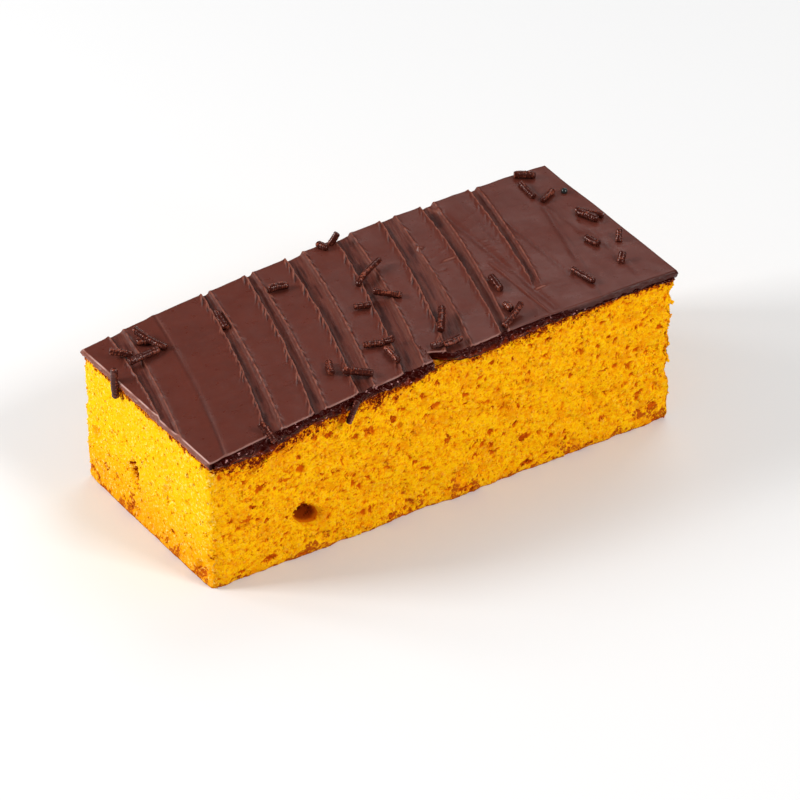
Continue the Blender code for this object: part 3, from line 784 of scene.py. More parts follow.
def sponge_material(looks):
    """Yellow crumb: its own patches and specks, painted shade in its crevices, creases, pores and
    hollows, painted highlights on its raised clumps, its spots, then what browned or stained it. The
    left end is drier and paler: fewer patches, less painted shade, more painted highlight, and painted
    shade towards its bottom."""
    recipe = Recipe(
        "torn_sponge", looks.yellow, Roughness=0.85, Specular_IOR_Level=0.02,
        Subsurface_Weight=0.15, Subsurface_Radius=(1.0, 0.50, 0.12), Subsurface_Scale=0.0004)
    dry = recipe.value("dry")
    # How moist the crumb is; it also scales the painted shade in crevices and pores.
    moisture_and_shade = recipe.ramp(dry, 0.0, 1.0, 1.0, 0.16)
    patches = recipe.ramp(recipe.noise(0.0080, 6.0, 0.72), 0.48, 0.66, 0.0, 0.65)
    lumps = recipe.ramp(recipe.noise(0.0022, 6.0, 0.74, (1.0, 1.0, 1.4)), 0.48, 0.64, 0.0, 0.85)
    recipe.lay(recipe.times(recipe.maths("MAXIMUM", patches, lumps), moisture_and_shade), looks.orange_and_shade)
    # Painted shade: crevices between the clumps turn orange.
    shaded_crevices = recipe.ramp(recipe.value("crevice"), 0.25, 0.95, 0.0, 0.8)
    recipe.lay(recipe.times(shaded_crevices, moisture_and_shade), looks.orange_and_shade)
    # Painted shade: where the fine bump noise is low, the bump's hollows turn orange.
    torn_height = recipe.noise(0.0006, 4.0, 0.7)
    crease_shade = recipe.ramp(torn_height, 0.50, 0.38)
    recipe.lay(recipe.times(crease_shade, recipe.ramp(dry, 0.0, 1.0, 0.7, 0.3)), looks.orange_and_shade)
    # Painted shade: the left end turns orange towards its bottom.
    height = recipe.add("SeparateXYZ", Vector=recipe.place()).outputs["Z"]
    recipe.lay(recipe.times(recipe.ramp(height, 0.022, 0.001, 0.0, 0.52), dry), looks.orange_and_shade)
    # Painted highlight: pale glints on the raised clumps, strongest on the dry left end.
    glints = recipe.ramp(recipe.noise(0.0008, 3.0, 0.7), 0.50, 0.62)
    lit = recipe.times(recipe.ramp(recipe.value("grain"), 0.2, 0.9), glints)
    recipe.lay(recipe.times(lit, recipe.ramp(dry, 0.0, 1.0, 0.16, 1.0)), looks.pale)
    tiny = recipe.ramp(recipe.noise(0.0011, 4.0, 0.74, (1.0, 1.0, 1.5)), 0.60, 0.69, 0.0, 0.7)
    recipe.lay(recipe.times(tiny, moisture_and_shade), looks.speck_and_pore_shade)
    # Painted shade in the pores.
    deep = recipe.ramp(recipe.value("pore"), 0.10, 0.9, 0.0, 0.62)
    recipe.lay(recipe.times(deep, moisture_and_shade), looks.speck_and_pore_shade)
    crumbly = recipe.ramp(recipe.noise(0.0007, 4.0, 0.7), 0.38, 0.62, 0.25, 1.6)
    marked = recipe.times(recipe.value("spot"), crumbly)
    recipe.lay(recipe.ramp(marked, 0.12, 0.50, 0.0, 0.85), looks.speck_and_pore_shade)
    recipe.lay(recipe.ramp(marked, 0.35, 0.70, 0.0, 0.95), looks.pit_shade_and_spot)
    # Painted shade in the bubble and the other hollows, darkest where they are deepest.
    hollow = recipe.value("hollow")
    recipe.lay(recipe.ramp(hollow, 0.42, 0.60, 0.0, 0.85), looks.speck_and_pore_shade)
    recipe.lay(recipe.ramp(hollow, 0.62, 1.0, 0.0, 0.95), looks.pit_shade_and_spot)
    skin = recipe.times(recipe.value("base"), crumbly)
    recipe.lay(recipe.ramp(skin, 0.1, 0.8), looks.browned)
    soaked = recipe.times(recipe.value("stain"), crumbly)
    recipe.lay(recipe.ramp(soaked, 0.05, 0.45, 0.0, 0.9), looks.speck_and_pore_shade)
    recipe.lay(recipe.ramp(soaked, 0.40, 0.90), looks.stained)
    # Painted shade: the deepest crevices turn redder still.
    deepest = recipe.ramp(recipe.value("crevice"), 0.55, 0.95, 0.0, 0.65)
    recipe.lay(recipe.times(deepest, moisture_and_shade), looks.speck_and_pore_shade)
    return recipe.finish(Normal=recipe.bump(torn_height, 0.00009))


# What the colours follow on the sponge's top, which the icing hides.
TOP_VALUES = {
    "pore": 0.0, "grain": 0.8, "stain": 0.3, "base": 0.0,
    "crevice": 0.2, "hollow": 0.0, "dry": 0.5, "spot": 0.0,
}


class CAKE_OT_sponge(bpy.types.Operator):
    """Make the sponge with its torn crumb, pores, stains and browned base"""
    bl_idname = "cake.sponge"
    bl_label = "Sponge"

    def execute(self, context):
        looks = context.scene.cake_sponge
        columns = round(OUTLINE_LENGTH / looks.facet)
        rows = round(between(LEFT_HEIGHT, RIGHT_HEIGHT, 0.5) / looks.facet)
        share = np.arange(columns) / columns
        side, _, values = crumb_surface(share, np.linspace(0.0, 1.0, rows)[:, None], looks)
        x, y, _, _ = outline(share)
        rings = []
        for inward in TOP_RINGS:
            ring_x = x * (1.0 - inward / (LENGTH / 2))
            ring_y = y * (1.0 - inward / (DEPTH / 2))
            height = icing_underside(ring_x, ring_y) - CLEARANCE / 2
            near, _ = scatter_noise(points_of(ring_x, ring_y, height), looks.grain)
            dimpled = height - TOP_DIMPLES * np.clip(near, 0.0, 1.0)
            rings.append(placed(ring_x, ring_y, dimpled))
        points = np.concatenate((side, rings))
        base = np.arange(columns)
        top = base + (len(points) - 1) * columns
        faces = grid_faces(columns, len(points), closed=True).tolist()
        faces += [base[::-1].tolist(), top.tolist()]
        numbers = {
            name: np.concatenate((side_values, np.full((len(rings), columns), TOP_VALUES[name])))
            for name, side_values in values.items()
        }
        numbers["base"][0] = 1.0
        piece = make_piece("torn_sponge", points, faces, numbers, [sponge_material(looks)])
        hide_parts("sponge")
        return {"FINISHED"}


# ---- Icing -------------------------------------------------------------------------
class IcingLooks(bpy.types.PropertyGroup):
    chocolate: colour_property("Chocolate", "Colour of the smooth icing", (0.103, 0.0240, 0.0160))
    # Crest is the torn crests' lighter chocolate together with a painted highlight on them, and also the
    # painted highlight line along the top edges.
    crest: colour_property(
        "Crest", "Colour of the thin torn crests of the comb marks", (0.205, 0.066, 0.043))
    # Floor is painted light on the comb marks' lit side.
    floor: colour_property("Floor", "Colour of the comb marks' light side", (0.135, 0.042, 0.029))
    # Furrow is painted shade on the comb marks' steep side and beside their crests and strokes.
    furrow: colour_property("Furrow", "Colour of the comb marks' dark side", (0.046, 0.0085, 0.0058))
    wet: colour_property("Wet", "Colour of the dark wet rim", (0.024, 0.0014, 0.0008))
    # Painted highlight line along the top edges of the rim.
    worn: colour_property("Worn", "Colour of the pale rubbed line along the edges", (0.60, 0.380, 0.340))
    # Painted glints on the wet rim.
    painted_glint: colour_property("Fleck", "Colour of the pale flecks on the wet rim", (0.50, 0.240, 0.225))
    thin: colour_property(
        "Thin", "Colour of the wet chocolate where it thins out over the crumb", (0.130, 0.0120, 0.0015))
    row_pitch: length_property("Row pitch", "Size of the facets along the comb marks", 0.00038)


# Each side of a comb mark, and how far out its facets follow the crest.
CREST_SIDES = ((-1.0, 0.0022), (1.0, 0.0013))
LINES_END = 0.0960              # x of the outermost lines, past both ends of the slice


def crest_lines(reach):
    """Where the facets follow a crest, from inside the mark out to reach."""
    inside = np.arange(-0.0016, -0.0007, 0.00022)
    return np.concatenate((inside, np.arange(-0.00065, reach, 0.00018)))


def icing_columns():
    """Front and back x of the lines that the icing's facets follow, closer together where
    the comb marks have their crests."""
    lines = [(-LINES_END, -LINES_END)]
    for front, back, half_front, half_back, _, _, _ in GROOVES:
        for side, reach in CREST_SIDES:
            outward = crest_lines(reach)
            for aside in outward[outward > 0.0001 - min(half_front, half_back)]:
                lines.append((front + side * (half_front + aside), back + side * (half_back + aside)))
    lines.append((LINES_END, LINES_END))
    lines.sort(key=sum)
    filled = []
    for (front, back), (next_front, next_back) in zip(lines, lines[1:]):
        fine = FINE_LINES[0] < (front + back) / 2 < FINE_LINES[1]
        gap = (next_front - front + next_back - back) / 2
        count = max(1, math.ceil(gap / (FINE_PITCH if fine else COLUMN_PITCH)))
        for share in np.arange(count) / count:
            filled.append((between(front, next_front, share), between(back, next_back, share)))
    return np.array(filled + lines[-1:])


def raise_to(shades, name, values):
    """Raise one of the shades to values, where they are higher."""
    shades[name] = np.maximum(shades[name], values)


def comb_marks(x, y):
    """Height of the icing's marks over its plain surface, and its shades: how much each point is part of
    a crest (lighter chocolate with painted highlight), of a mark's dark side (painted shade), of its
    light side (painted light) and of its floor."""
    height = SWELL_HEIGHT * smooth_noise(points_of(x, y, 0.0), SWELL_LENGTH)
    shades = {name: np.zeros(x.shape) for name in ("crest", "dark", "light", "floor")}
    for number, groove in enumerate(GROOVES):
        height += comb_mark(x, y, number, groove, shades)
    for front, back, rise, width, shade in SINGLE_MARKS:
        off = x - bowed_line(front, back, y)
        height += 0.5 * rise * bell(off, width)
        # Painted shade beside each single mark, and a thin crest line with painted highlight.
        raise_to(shades, "dark", shade * bell(off - 0.0003, 0.0005))
        raise_to(shades, "crest", 0.8 * shade * bell(off - 0.0009, 0.00024))
    for *ends, width, rise, bright, shade in STROKES:
        line = stroke(x, y, *ends, width)
        height += rise * line
        # Crest colour with painted highlight, and painted shade, along each stroke.
        raise_to(shades, "crest", bright * line)
        raise_to(shades, "dark", shade * line)
    return height, shades


def comb_mark(x, y, number, groove, shades):
    """Height of one comb mark, whose shades are added to the others."""
    front, back, half_front, half_back, depth, start, torn = groove
    half = between(half_front, half_back, across(y))
    middle = bowed_line(front, back, y)
    line = points_of(0.0, y, number * 7.0)
    left = (middle - half + LEFT_WANDER * smooth_noise(line, 0.0022)) - x
    right = x - (middle + half + RIGHT_WANDER * smooth_noise(line, 0.0028, (4.0, 0.0, 0.0)))
    opened = eased((y - start) / GROOVE_CLOSING) if start > FRONT else 1.0
    calm = between(0.35, 1.0, eased((BACK - y) / 0.0025))
    channel = opened * eased(-left / LEFT_WALL) * eased(-right / RIGHT_WALL)
    streaks = smooth_noise(points_of(x - middle, y * 0.05, number * 3.0), 0.00050)
    deeper = 1.12 + 0.24 * left / half
    height = -channel * (depth * deeper - 0.00008 * streaks)
    # Painted shade on the steep left side of the mark.
    steep_side_shade = opened * eased(-left / 0.00020) * eased(1.0 + (left + 0.0002) / (0.55 * half))
    patchy = 1.0 + 0.5 * smooth_noise(line, 0.009, (2.0, 0.0, 0.0))
    raise_to(shades, "floor", channel)
    raise_to(shades, "dark", steep_side_shade * patchy * np.clip(depth / 0.0009, 0.4, 1.0))
    # Painted shade: dark streaks in the floor, fading towards the lit right side.
    raise_to(shades, "dark", 0.75 * channel * eased(3.0 * streaks - 0.1) * eased(-right / (0.8 * half)))
    # Painted light: the floor grows lighter towards the rising right side, which faces the left light.
    raise_to(shades, "light", channel * eased(1.05 + right / (0.8 * half)))
    uneven = 0.80 + 0.6 * smooth_noise(line, 0.0015, (9.0, 0.0, 0.0))
    left_crest = opened * bell(left, CREST_WIDTH) * uneven
    right_crest = opened * bell(right, 0.9 * CREST_WIDTH) * (1.5 - uneven)
    height += opened * (LEFT_SHOULDER * bell(left, 0.0009) + RIGHT_SHOULDER * bell(right, 0.0008))
    height += calm * (LEFT_CREST * left_crest + RIGHT_CREST * right_crest)
    # Crest: lighter chocolate with a painted highlight on it.
    raise_to(shades, "crest", np.maximum(left_crest, 0.95 * right_crest))
    # Painted shade: a dark line just outside the right crest.
    raise_to(shades, "dark", 0.55 * opened * torn * bell(right - 0.00050, 0.00022))
    for aside, (slope, reach, share) in zip((left, right), BARBS):
        strength = opened * share * torn
        ridge, furrow = barbs(aside, y, slope, reach, number + slope)
        height += calm * strength * (BARB_RISE * ridge - BARB_FALL * furrow)
        # Painted highlight on each torn stroke's ridge, and painted shade in the furrow beside it.
        raise_to(shades, "crest", 0.9 * strength * ridge)
        raise_to(shades, "dark", strength * furrow)
    return height


def barbs(aside, y, slope, reach, seed):
    """Ridges and furrows of the torn strokes that leave a crest at a slope towards the
    front, each from 0 to 1."""
    phase = (-y - aside / math.tan(math.radians(slope))) / BARB_PITCH
    ridge, furrow = np.zeros(aside.shape), np.zeros(aside.shape)
    for beside in (-1.0, 0.0, 1.0):
        index = np.floor(phase) + beside
        middle = between(0.1, 0.9, fraction(index * 12.99 + seed * 78.23))
        long = reach * between(0.45, 1.0, fraction(index * 39.35 + seed * 11.13))
        strong = between(0.35, 1.1, fraction(index * 73.16 + seed * 52.24))
        off = (phase - index - middle) * BARB_PITCH * math.sin(math.radians(slope))
        off += 0.00030 * (aside / reach) ** 2
        taper = strong * eased(aside / 0.0001 + 1.0) * eased((long - aside) / (0.6 * long))
        ridge = np.maximum(ridge, taper * bell(off, RIDGE_WIDTH))
        furrow = np.maximum(furrow, taper * bell(off - FURROW_ASIDE, FURROW_WIDTH))
    return ridge, furrow


def stroke(x, y, start_x, start_y, end_x, end_y, width):
    """How much each point is part of a short mark with soft ends."""
    length = math.hypot(end_x - start_x, end_y - start_y)
    on_x, on_y = (end_x - start_x) / length, (end_y - start_y) / length
    run = (x - start_x) * on_x + (y - start_y) * on_y
    wander = 0.0003 * smooth_noise(points_of(0.0, run, start_x * 900.0), 0.005)
    off = (x - start_x) * on_y - (y - start_y) * on_x + wander
    taper = min(0.004, 0.3 * length)
    ends = eased(run / taper + 0.2) * eased((length - run) / taper + 0.2)
    return ends * bell(off, width)


def whiskers(x, y):
    """Fine bowed strokes in the icing between the last comb marks."""
    height = np.zeros(x.shape)
    for middle_x, middle_y, width, pitch in WHISKERS:
        from_x, from_y = x - middle_x, y - middle_y
        sag = 0.35 * np.abs(from_x + 0.4 * from_y)
        strokes = np.maximum(0.0, np.sin(2.0 * math.pi * (from_y - sag) / pitch)) ** 5
        broken = eased(0.4 + 2.2 * smooth_noise(points_of(x, y, middle_x), 0.0026))
        height += strokes * broken * bell(from_x - 0.28 * from_y, width) * bell(from_y, 4.2 * width)
    return height


def icing_surface(x, y):
    """Height of the icing's top with all its marks, and its shades from 0 to 1."""
    relief, shades = comb_marks(x, y)
    smooth = 1.0 - shades["floor"]
    strokes = whiskers(x, y) * smooth
    flat = points_of(x, y, 0.0) * (1.0, 0.45, 1.0)
    relief += 0.00007 * smooth_noise(flat, 0.0032, (1.0, 1.0, 1.0)) * smooth + 0.00014 * strokes
    # The fine strokes take the crest colour: lighter chocolate with painted highlight.
    raise_to(shades, "crest", 0.45 * strokes)
    return icing_top(x) + relief, {name: np.clip(shade, 0.0, 1.0) for name, shade in shades.items()}


def icing_material(looks):
    """Satin chocolate: its clouds and streaks, its marks with their painted shade, painted light and
    crests with painted highlight, then its rim with a painted highlight along the edge, wet and crumbed.
    """
    recipe = Recipe(
        "satin_icing", looks.chocolate,
        Specular_IOR_Level=0.24, Specular_Tint=(1.0, 0.90, 0.87, 1.0),
        Subsurface_Weight=0.15, Subsurface_Radius=(1.0, 0.30, 0.15), Subsurface_Scale=0.0012)
    recipe.lay(recipe.ramp(recipe.noise(0.011, 3.0), 0.35, 0.7), shade_of(looks.chocolate, 0.90))
    brushed = recipe.noise(0.0022, 4.0, 0.62, (0.25, 1.0, 1.0), COMB_TURN)
    recipe.lay(recipe.ramp(brushed, 0.42, 0.72, 0.0, 0.6), shade_of(looks.chocolate, 1.12))
    # Painted light on the marks' lit side.
    recipe.lay(recipe.ramp(recipe.value("light"), 0.1, 1.0, 0.0, 0.95), looks.floor)
    combed = recipe.noise(0.0006, 4.0, 0.6, COMB_STRETCH, COMB_TURN)
    in_floor = recipe.value("floor")
    recipe.lay(recipe.times(recipe.ramp(combed, 0.48, 0.36, 0.0, 0.20), in_floor), looks.crest)
    recipe.lay(recipe.times(recipe.ramp(combed, 0.50, 0.66, 0.0, 0.60), in_floor), looks.furrow)
    # Painted shade on the marks' dark sides.
    recipe.lay(recipe.ramp(recipe.value("dark"), 0.03, 0.80, 0.0, 0.95), looks.furrow)
    # Crest colour: lighter chocolate with painted highlight.
    recipe.lay(recipe.ramp(recipe.value("crest"), 0.12, 0.75), looks.crest)
    # Painted highlight along the rim's top edge.
    recipe.lay(recipe.value("worn"), looks.worn)
    wet = recipe.value("wet")
    recipe.lay(wet, looks.wet)
    stuck = recipe.ramp(recipe.noise(0.0009, 3.0), 0.40, 0.60, 0.2, 1.4)
    stuck = recipe.times(recipe.value("crumbed"), stuck)
    recipe.lay(recipe.ramp(stuck, 0.35, 0.70), shade_of(looks.thin, 2.8))
    rough = recipe.ramp(recipe.noise(0.003, 3.0), 0.3, 0.7, 0.27, 0.38)
    rough = recipe.maths("ADD", rough, recipe.times(in_floor, 0.08))
    rough = recipe.ramp(wet, 0.70, 1.0, rough, 0.09)
    grain = recipe.bump(recipe.noise(0.00025, 2.0), 0.00002, 0.5)
    wiped = recipe.bump(brushed, 0.00006, 0.8, grain)
    grooved = recipe.bump(recipe.times(combed, in_floor), 0.00020, 0.9, wiped)
    return recipe.finish(Roughness=rough, Normal=grooved)


def wet_material(looks):
    """Glossy chocolate with painted pale glints, lighter where it is thin."""
    recipe = Recipe(
        "wet_chocolate", looks.wet, Roughness=0.08,
        Specular_IOR_Level=0.15, Specular_Tint=(1.0, 0.45, 0.38, 1.0))
    recipe.lay(recipe.value("thin"), looks.thin)
    # Painted highlight: pale glints where the noise is high.
    painted_glints = recipe.noise(0.0010, 3.0, 0.6, (0.7, 1.0, 1.3))
    recipe.lay(recipe.ramp(painted_glints, 0.63, 0.67, 0.0, 0.9), looks.painted_glint)
    return recipe.finish(Normal=recipe.bump(recipe.noise(0.0007, 2.0), 0.00026))


def border_of(rows, columns):
    """Indices of a grid's border points, counter-clockwise from the front left corner."""
    front = np.arange(columns - 1)
    right = np.arange(rows - 1) * columns + columns - 1
    back = rows * columns - 1 - np.arange(columns - 1)
    left = (rows - 1 - np.arange(rows - 1)) * columns
    return np.concatenate((front, right, back, left))


def torn_points(x, y, z, plain=None):
    """Points of the icing once its front edge is torn back. How far goes by the plain
    x and y, where they are not the points' own."""
    plain_x, plain_y = plain or (x, y)
    fade = np.clip(1.0 - (plain_y - FRONT) / BITE_REACH, 0.0, 1.0)
    return placed(x, y + torn_back(plain_x) * fade, z)


def rim_rings(x, y, top, side_x, side_y):
    """Rings of points from the top's border over the rounded edge, down the wall and a
    little way in under the icing."""
    rings = [torn_points(x, y, top)]
    for turn in np.linspace(0.0, math.pi / 2, EDGE_RINGS)[1:]:
        out = EDGE_ROUND * math.sin(turn)
        level = top - EDGE_ROUND * (1.0 - math.cos(turn))
        rings.append(torn_points(x + side_x * out, y + side_y * out, level, (x, y)))
    rim = (x + side_x * EDGE_ROUND, y + side_y * EDGE_ROUND)
    drip = smooth_noise(points_of(*rim, 0.0), 0.0023, (1.0, 2.0, 3.0))
    low = icing_underside(*rim) + CLEARANCE / 2 - RIM_HANG * (1.0 + 1.3 * drip)
    behind_smear = (side_y < 0.0) & (x < WET_END - 0.006)
    for share in np.linspace(0.0, 1.0, WALL_RINGS + 1)[1:]:
        level = between(top - EDGE_ROUND, low, share)
        flat = points_of(*rim, level)
        lumps = 0.00045 * smooth_noise(flat, 0.0019, (3.0, 1.0, 2.0))
        lumps += 0.00022 * smooth_noise(flat, 0.0008)
        swelling = math.sin(math.pi * min(1.0, 0.95 * share + 0.05)) ** 0.7
        proud = swelling * (RIM_BULGE + lumps) - RIM_ROUND * share ** 3
        proud = np.where(behind_smear, 0.2 * proud - 0.0003 * swelling, proud)
        rings.append(torn_points(rim[0] + side_x * proud, rim[1] + side_y * proud, level, rim))
    x_in = rim[0] * (1.0 - UNDER_RING / (LENGTH / 2))
    y_in = rim[1] * (1.0 - UNDER_RING / (DEPTH / 2))
    rings.append(torn_points(x_in, y_in, icing_underside(x_in, y_in) + CLEARANCE / 2))
    return rings


def rim_shades(x, y, at_front, on_end, edge_highlight, count):
    """How wet the rim is, how much painted highlight lies along its top edge, and how much it is stuck
    with crumbs, at each of count rings from the top down. The right end of the front is dry, and the
    left end has a crumbed foot."""
    ring = np.arange(count)[:, None]
    front_soaked = between(0.65, 1.0, eased((WET_END + 0.006 - x) / 0.014))
    soaked = np.where(at_front, front_soaked, np.where(on_end, 0.10, 0.5))
    dry_front = at_front * eased((x - WET_END) / 0.012)
    lowness = np.clip((ring - between(3.0, 0.5, dry_front)) / 3.0, 0.0, 1.0)
    low_line = 0.85 * at_front * eased((ring - 11.0) / 2.0)
    patchy = eased(0.75 + 1.2 * smooth_noise(points_of(x, y, 0.0), 0.004))
    return {
        "wet": np.maximum(lowness * soaked, low_line),
        # Painted highlight in a band just under the top edge.
        "worn": bell(ring - 1.5, 0.8) * np.where(on_end, 1.0, 0.7 * edge_highlight) * patchy,
        "crumbed": eased((ring - 7.0) / 3.0) * on_end,
    }


def glossy_faces(x, at_front, count):
    """Which of the rim's faces are wet chocolate, ring by ring."""
    ring = np.arange(count - 1)[:, None]
    end = WET_END + 0.0012 * (ring - 9.0) + 0.0020 * smooth_noise(points_of(x, 0.0, 0.0), 0.0030)
    return (ring >= 3) & at_front & (x < end)


class CAKE_OT_icing(bpy.types.Operator):
    """Make the combed chocolate icing with its torn crests and its dark rim"""
    bl_idname = "cake.icing"
    bl_label = "Icing"

    def execute(self, context):
        looks = context.scene.cake_icing
        lines = icing_columns()
        far_x, far_y = LENGTH / 2 - EDGE_ROUND, DEPTH / 2 - EDGE_ROUND
        rows = round(2 * far_y / looks.row_pitch)
        y = np.repeat(np.linspace(-far_y, far_y, rows)[:, None], len(lines), axis=1)
        x = np.clip(bowed_line(lines[:, 0], lines[:, 1], y), -far_x, far_x)
        height, shades = icing_surface(x, y)
        border = border_of(*x.shape)
        x_edge, y_edge, top = (grid.ravel()[border] for grid in (x, y, height))
        side_x = np.sign(x_edge) * (np.abs(x_edge) > far_x - MERGE)
        side_y = np.sign(y_edge) * (np.abs(y_edge) > far_y - MERGE)
        at_front = side_y < 0.0
        on_end = (side_x < 0.0) & ~at_front
        rings = rim_rings(x_edge, y_edge, top, side_x, side_y)
        points = np.concatenate((torn_points(x, y, height).reshape(-1, 3), np.reshape(rings, (-1, 3))))
        top_faces = grid_faces(len(lines), rows)
        rim_faces = grid_faces(len(border), len(rings), closed=True)[:, ::-1] + x.size
        underside = len(points) - 1 - np.arange(len(border))
        faces = [*top_faces.tolist(), *rim_faces.tolist(), underside.tolist()]
        off_marks = 1.0 - shades["floor"].ravel()[border]
        # Painted highlight along the top edge: on the front's left part between the comb marks, and all
        # along the left end.
        edge_highlight = 0.5 * at_front * off_marks * eased((0.030 - x_edge) / 0.02)
        edge_highlight = np.maximum(edge_highlight, 0.8 * (side_x < 0.0))
        numbers = {}
        for name, shade in shades.items():
            edge = shade.ravel()[border]
            edge = np.maximum(edge, edge_highlight) if name == "crest" else edge
            numbers[name] = np.concatenate((shade.ravel(), np.tile(edge, len(rings))))
        for name, shade in rim_shades(x_edge, y_edge, at_front, on_end, edge_highlight, len(rings)).items():
            numbers[name] = np.concatenate((np.zeros(x.size), shade.ravel()))
        materials = [icing_material(looks), wet_material(looks)]
        piece = make_piece("combed_icing", points, faces, numbers, materials)
        glossy = glossy_faces(x_edge, at_front, len(rings)).ravel()
        chosen = np.concatenate((np.zeros(len(top_faces)), glossy, (0.0,))).astype(np.int32)
        piece.data.polygons.foreach_set("material_index", chosen)
        weld(piece.data)
        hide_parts("icing")
        return {"FINISHED"}


# ---- Smear -------------------------------------------------------------------------
SMEAR_PITCH, SMEAR_ROWS = 0.00026, 30
SMEAR_MARGIN = 0.0012           # the smear stops this far short of both ends
SMEAR_TOP = 0.0003              # how far below the icing's top the smear starts
SMEAR_SPAN = 0.0035             # height of the noise that frays its lower edge
SMEAR_LEAN = 0.0005             # how much further out its lower edge stands
SMEAR_THICK, SMEAR_THIN = 0.00055, -0.00045     # thickness at the rim and at the lower edge
SMEAR_HOLES = 0.0016            # how deep its holes dip into the crumb
# Lumps in the smear: height, length and how much they are stretched along the front.
SMEAR_LUMPS = ((0.0011, 0.0021, 0.6), (0.0006, 0.0010, 0.8))


class CAKE_OT_smear(bpy.types.Operator):
    """Press the wet chocolate onto the sponge under the icing's front edge"""
    bl_idname = "cake.smear"
    bl_label = "Smear"

    def execute(self, context):
        end = LENGTH / 2 - SMEAR_MARGIN
        x = np.arange(-end, end, SMEAR_PITCH)[None, :]
        down = np.linspace(0.0, 1.0, SMEAR_ROWS)[:, None]
        under = icing_underside(x, FRONT)
        flat = points_of(x, 0.0, under - SMEAR_SPAN * down)
        frayed = 1.0 + 1.0 * smooth_noise(flat, 0.0024, (2.0, 5.0, 3.0))
        frayed = frayed + 0.7 * smooth_noise(flat, 0.0010, (8.0, 5.0, 3.0))
        top = between(icing_top(x) - SMEAR_TOP, under + 0.0004, eased((x - 0.030) / 0.018))
        low = np.minimum(rim_edge(x, WET_COLUMN), under - 0.0002)
        level = between(top, under - (under - low) * frayed, down)
        share = (x + LENGTH / 2 - CORNER_RADIUS) / OUTLINE_LENGTH
        crumb, _, _ = crumb_surface(share, np.clip(level / under, 0.0, 1.0), context.scene.cake_sponge)
        place = points_of(x, FRONT, level)
        lumps = sum(
            height * smooth_noise(place * (stretch, 1.0, 1.0), length, (7.0, 7.0, 1.0))
            for height, length, stretch in SMEAR_LUMPS)
        lumps *= between(0.35, 1.0, eased((0.046 - x) / 0.014))
        on_rim = eased((level - under) / 0.0012 + 0.5)
        tucked = 0.0009 * eased((0.12 - down) / 0.12)
        rim_y = FRONT - RIM_BULGE - 0.00015 + tucked
        holes = SMEAR_HOLES * np.minimum(smooth_noise(flat, 0.0012, (3.0, 3.0, 9.0)), 0.0)
        thick = between(SMEAR_THICK, SMEAR_THIN, eased((down - 0.50) / 0.50))
        thick = thick + holes * eased((down - 0.3) / 0.3)
        lean = SMEAR_LEAN * eased(down / 0.75) * eased((1.0 - down) / 0.22)
        crumb_y = np.minimum(crumb[..., 1] - CENTRE_SHIFT[1], FRONT + 0.0012) - thick
        y = between(crumb_y, rim_y, on_rim) - lean - lumps * between(0.8, 1.0, on_rim)
        points = placed(x, y + torn_back(x), level)
        faces = grid_faces(points.shape[1], SMEAR_ROWS)[:, ::-1].tolist()
        thin = eased((down - 0.38) / 0.4 + 0.9 * smooth_noise(flat, 0.0013))
        material = wet_material(context.scene.cake_icing)
        make_piece("wet_smear", points, faces, {"thin": thin}, [material])
        return {"FINISHED"}


# ---- Loose crumbs ------------------------------------------------------------------
class CrumbLooks(bpy.types.PropertyGroup):
    small: IntProperty(name="Small crumbs", description="Number of the finest crumbs", default=6200)
    large: IntProperty(name="Large crumbs", description="Number of the clumps", default=300)
    stained: IntProperty(
        name="Stained crumbs", description="Number of dark crumbs under the icing", default=520)


# Least and greatest half axis of the small, the large and the stained crumbs.
SMALL_CRUMB, LARGE_CRUMB, STAINED_CRUMB = (0.00016, 0.00042), (0.00030, 0.00060), (0.00014, 0.00034)
CLEAN_SHARE = 0.85              # share of the left end's crumbs that are sunk out of sight


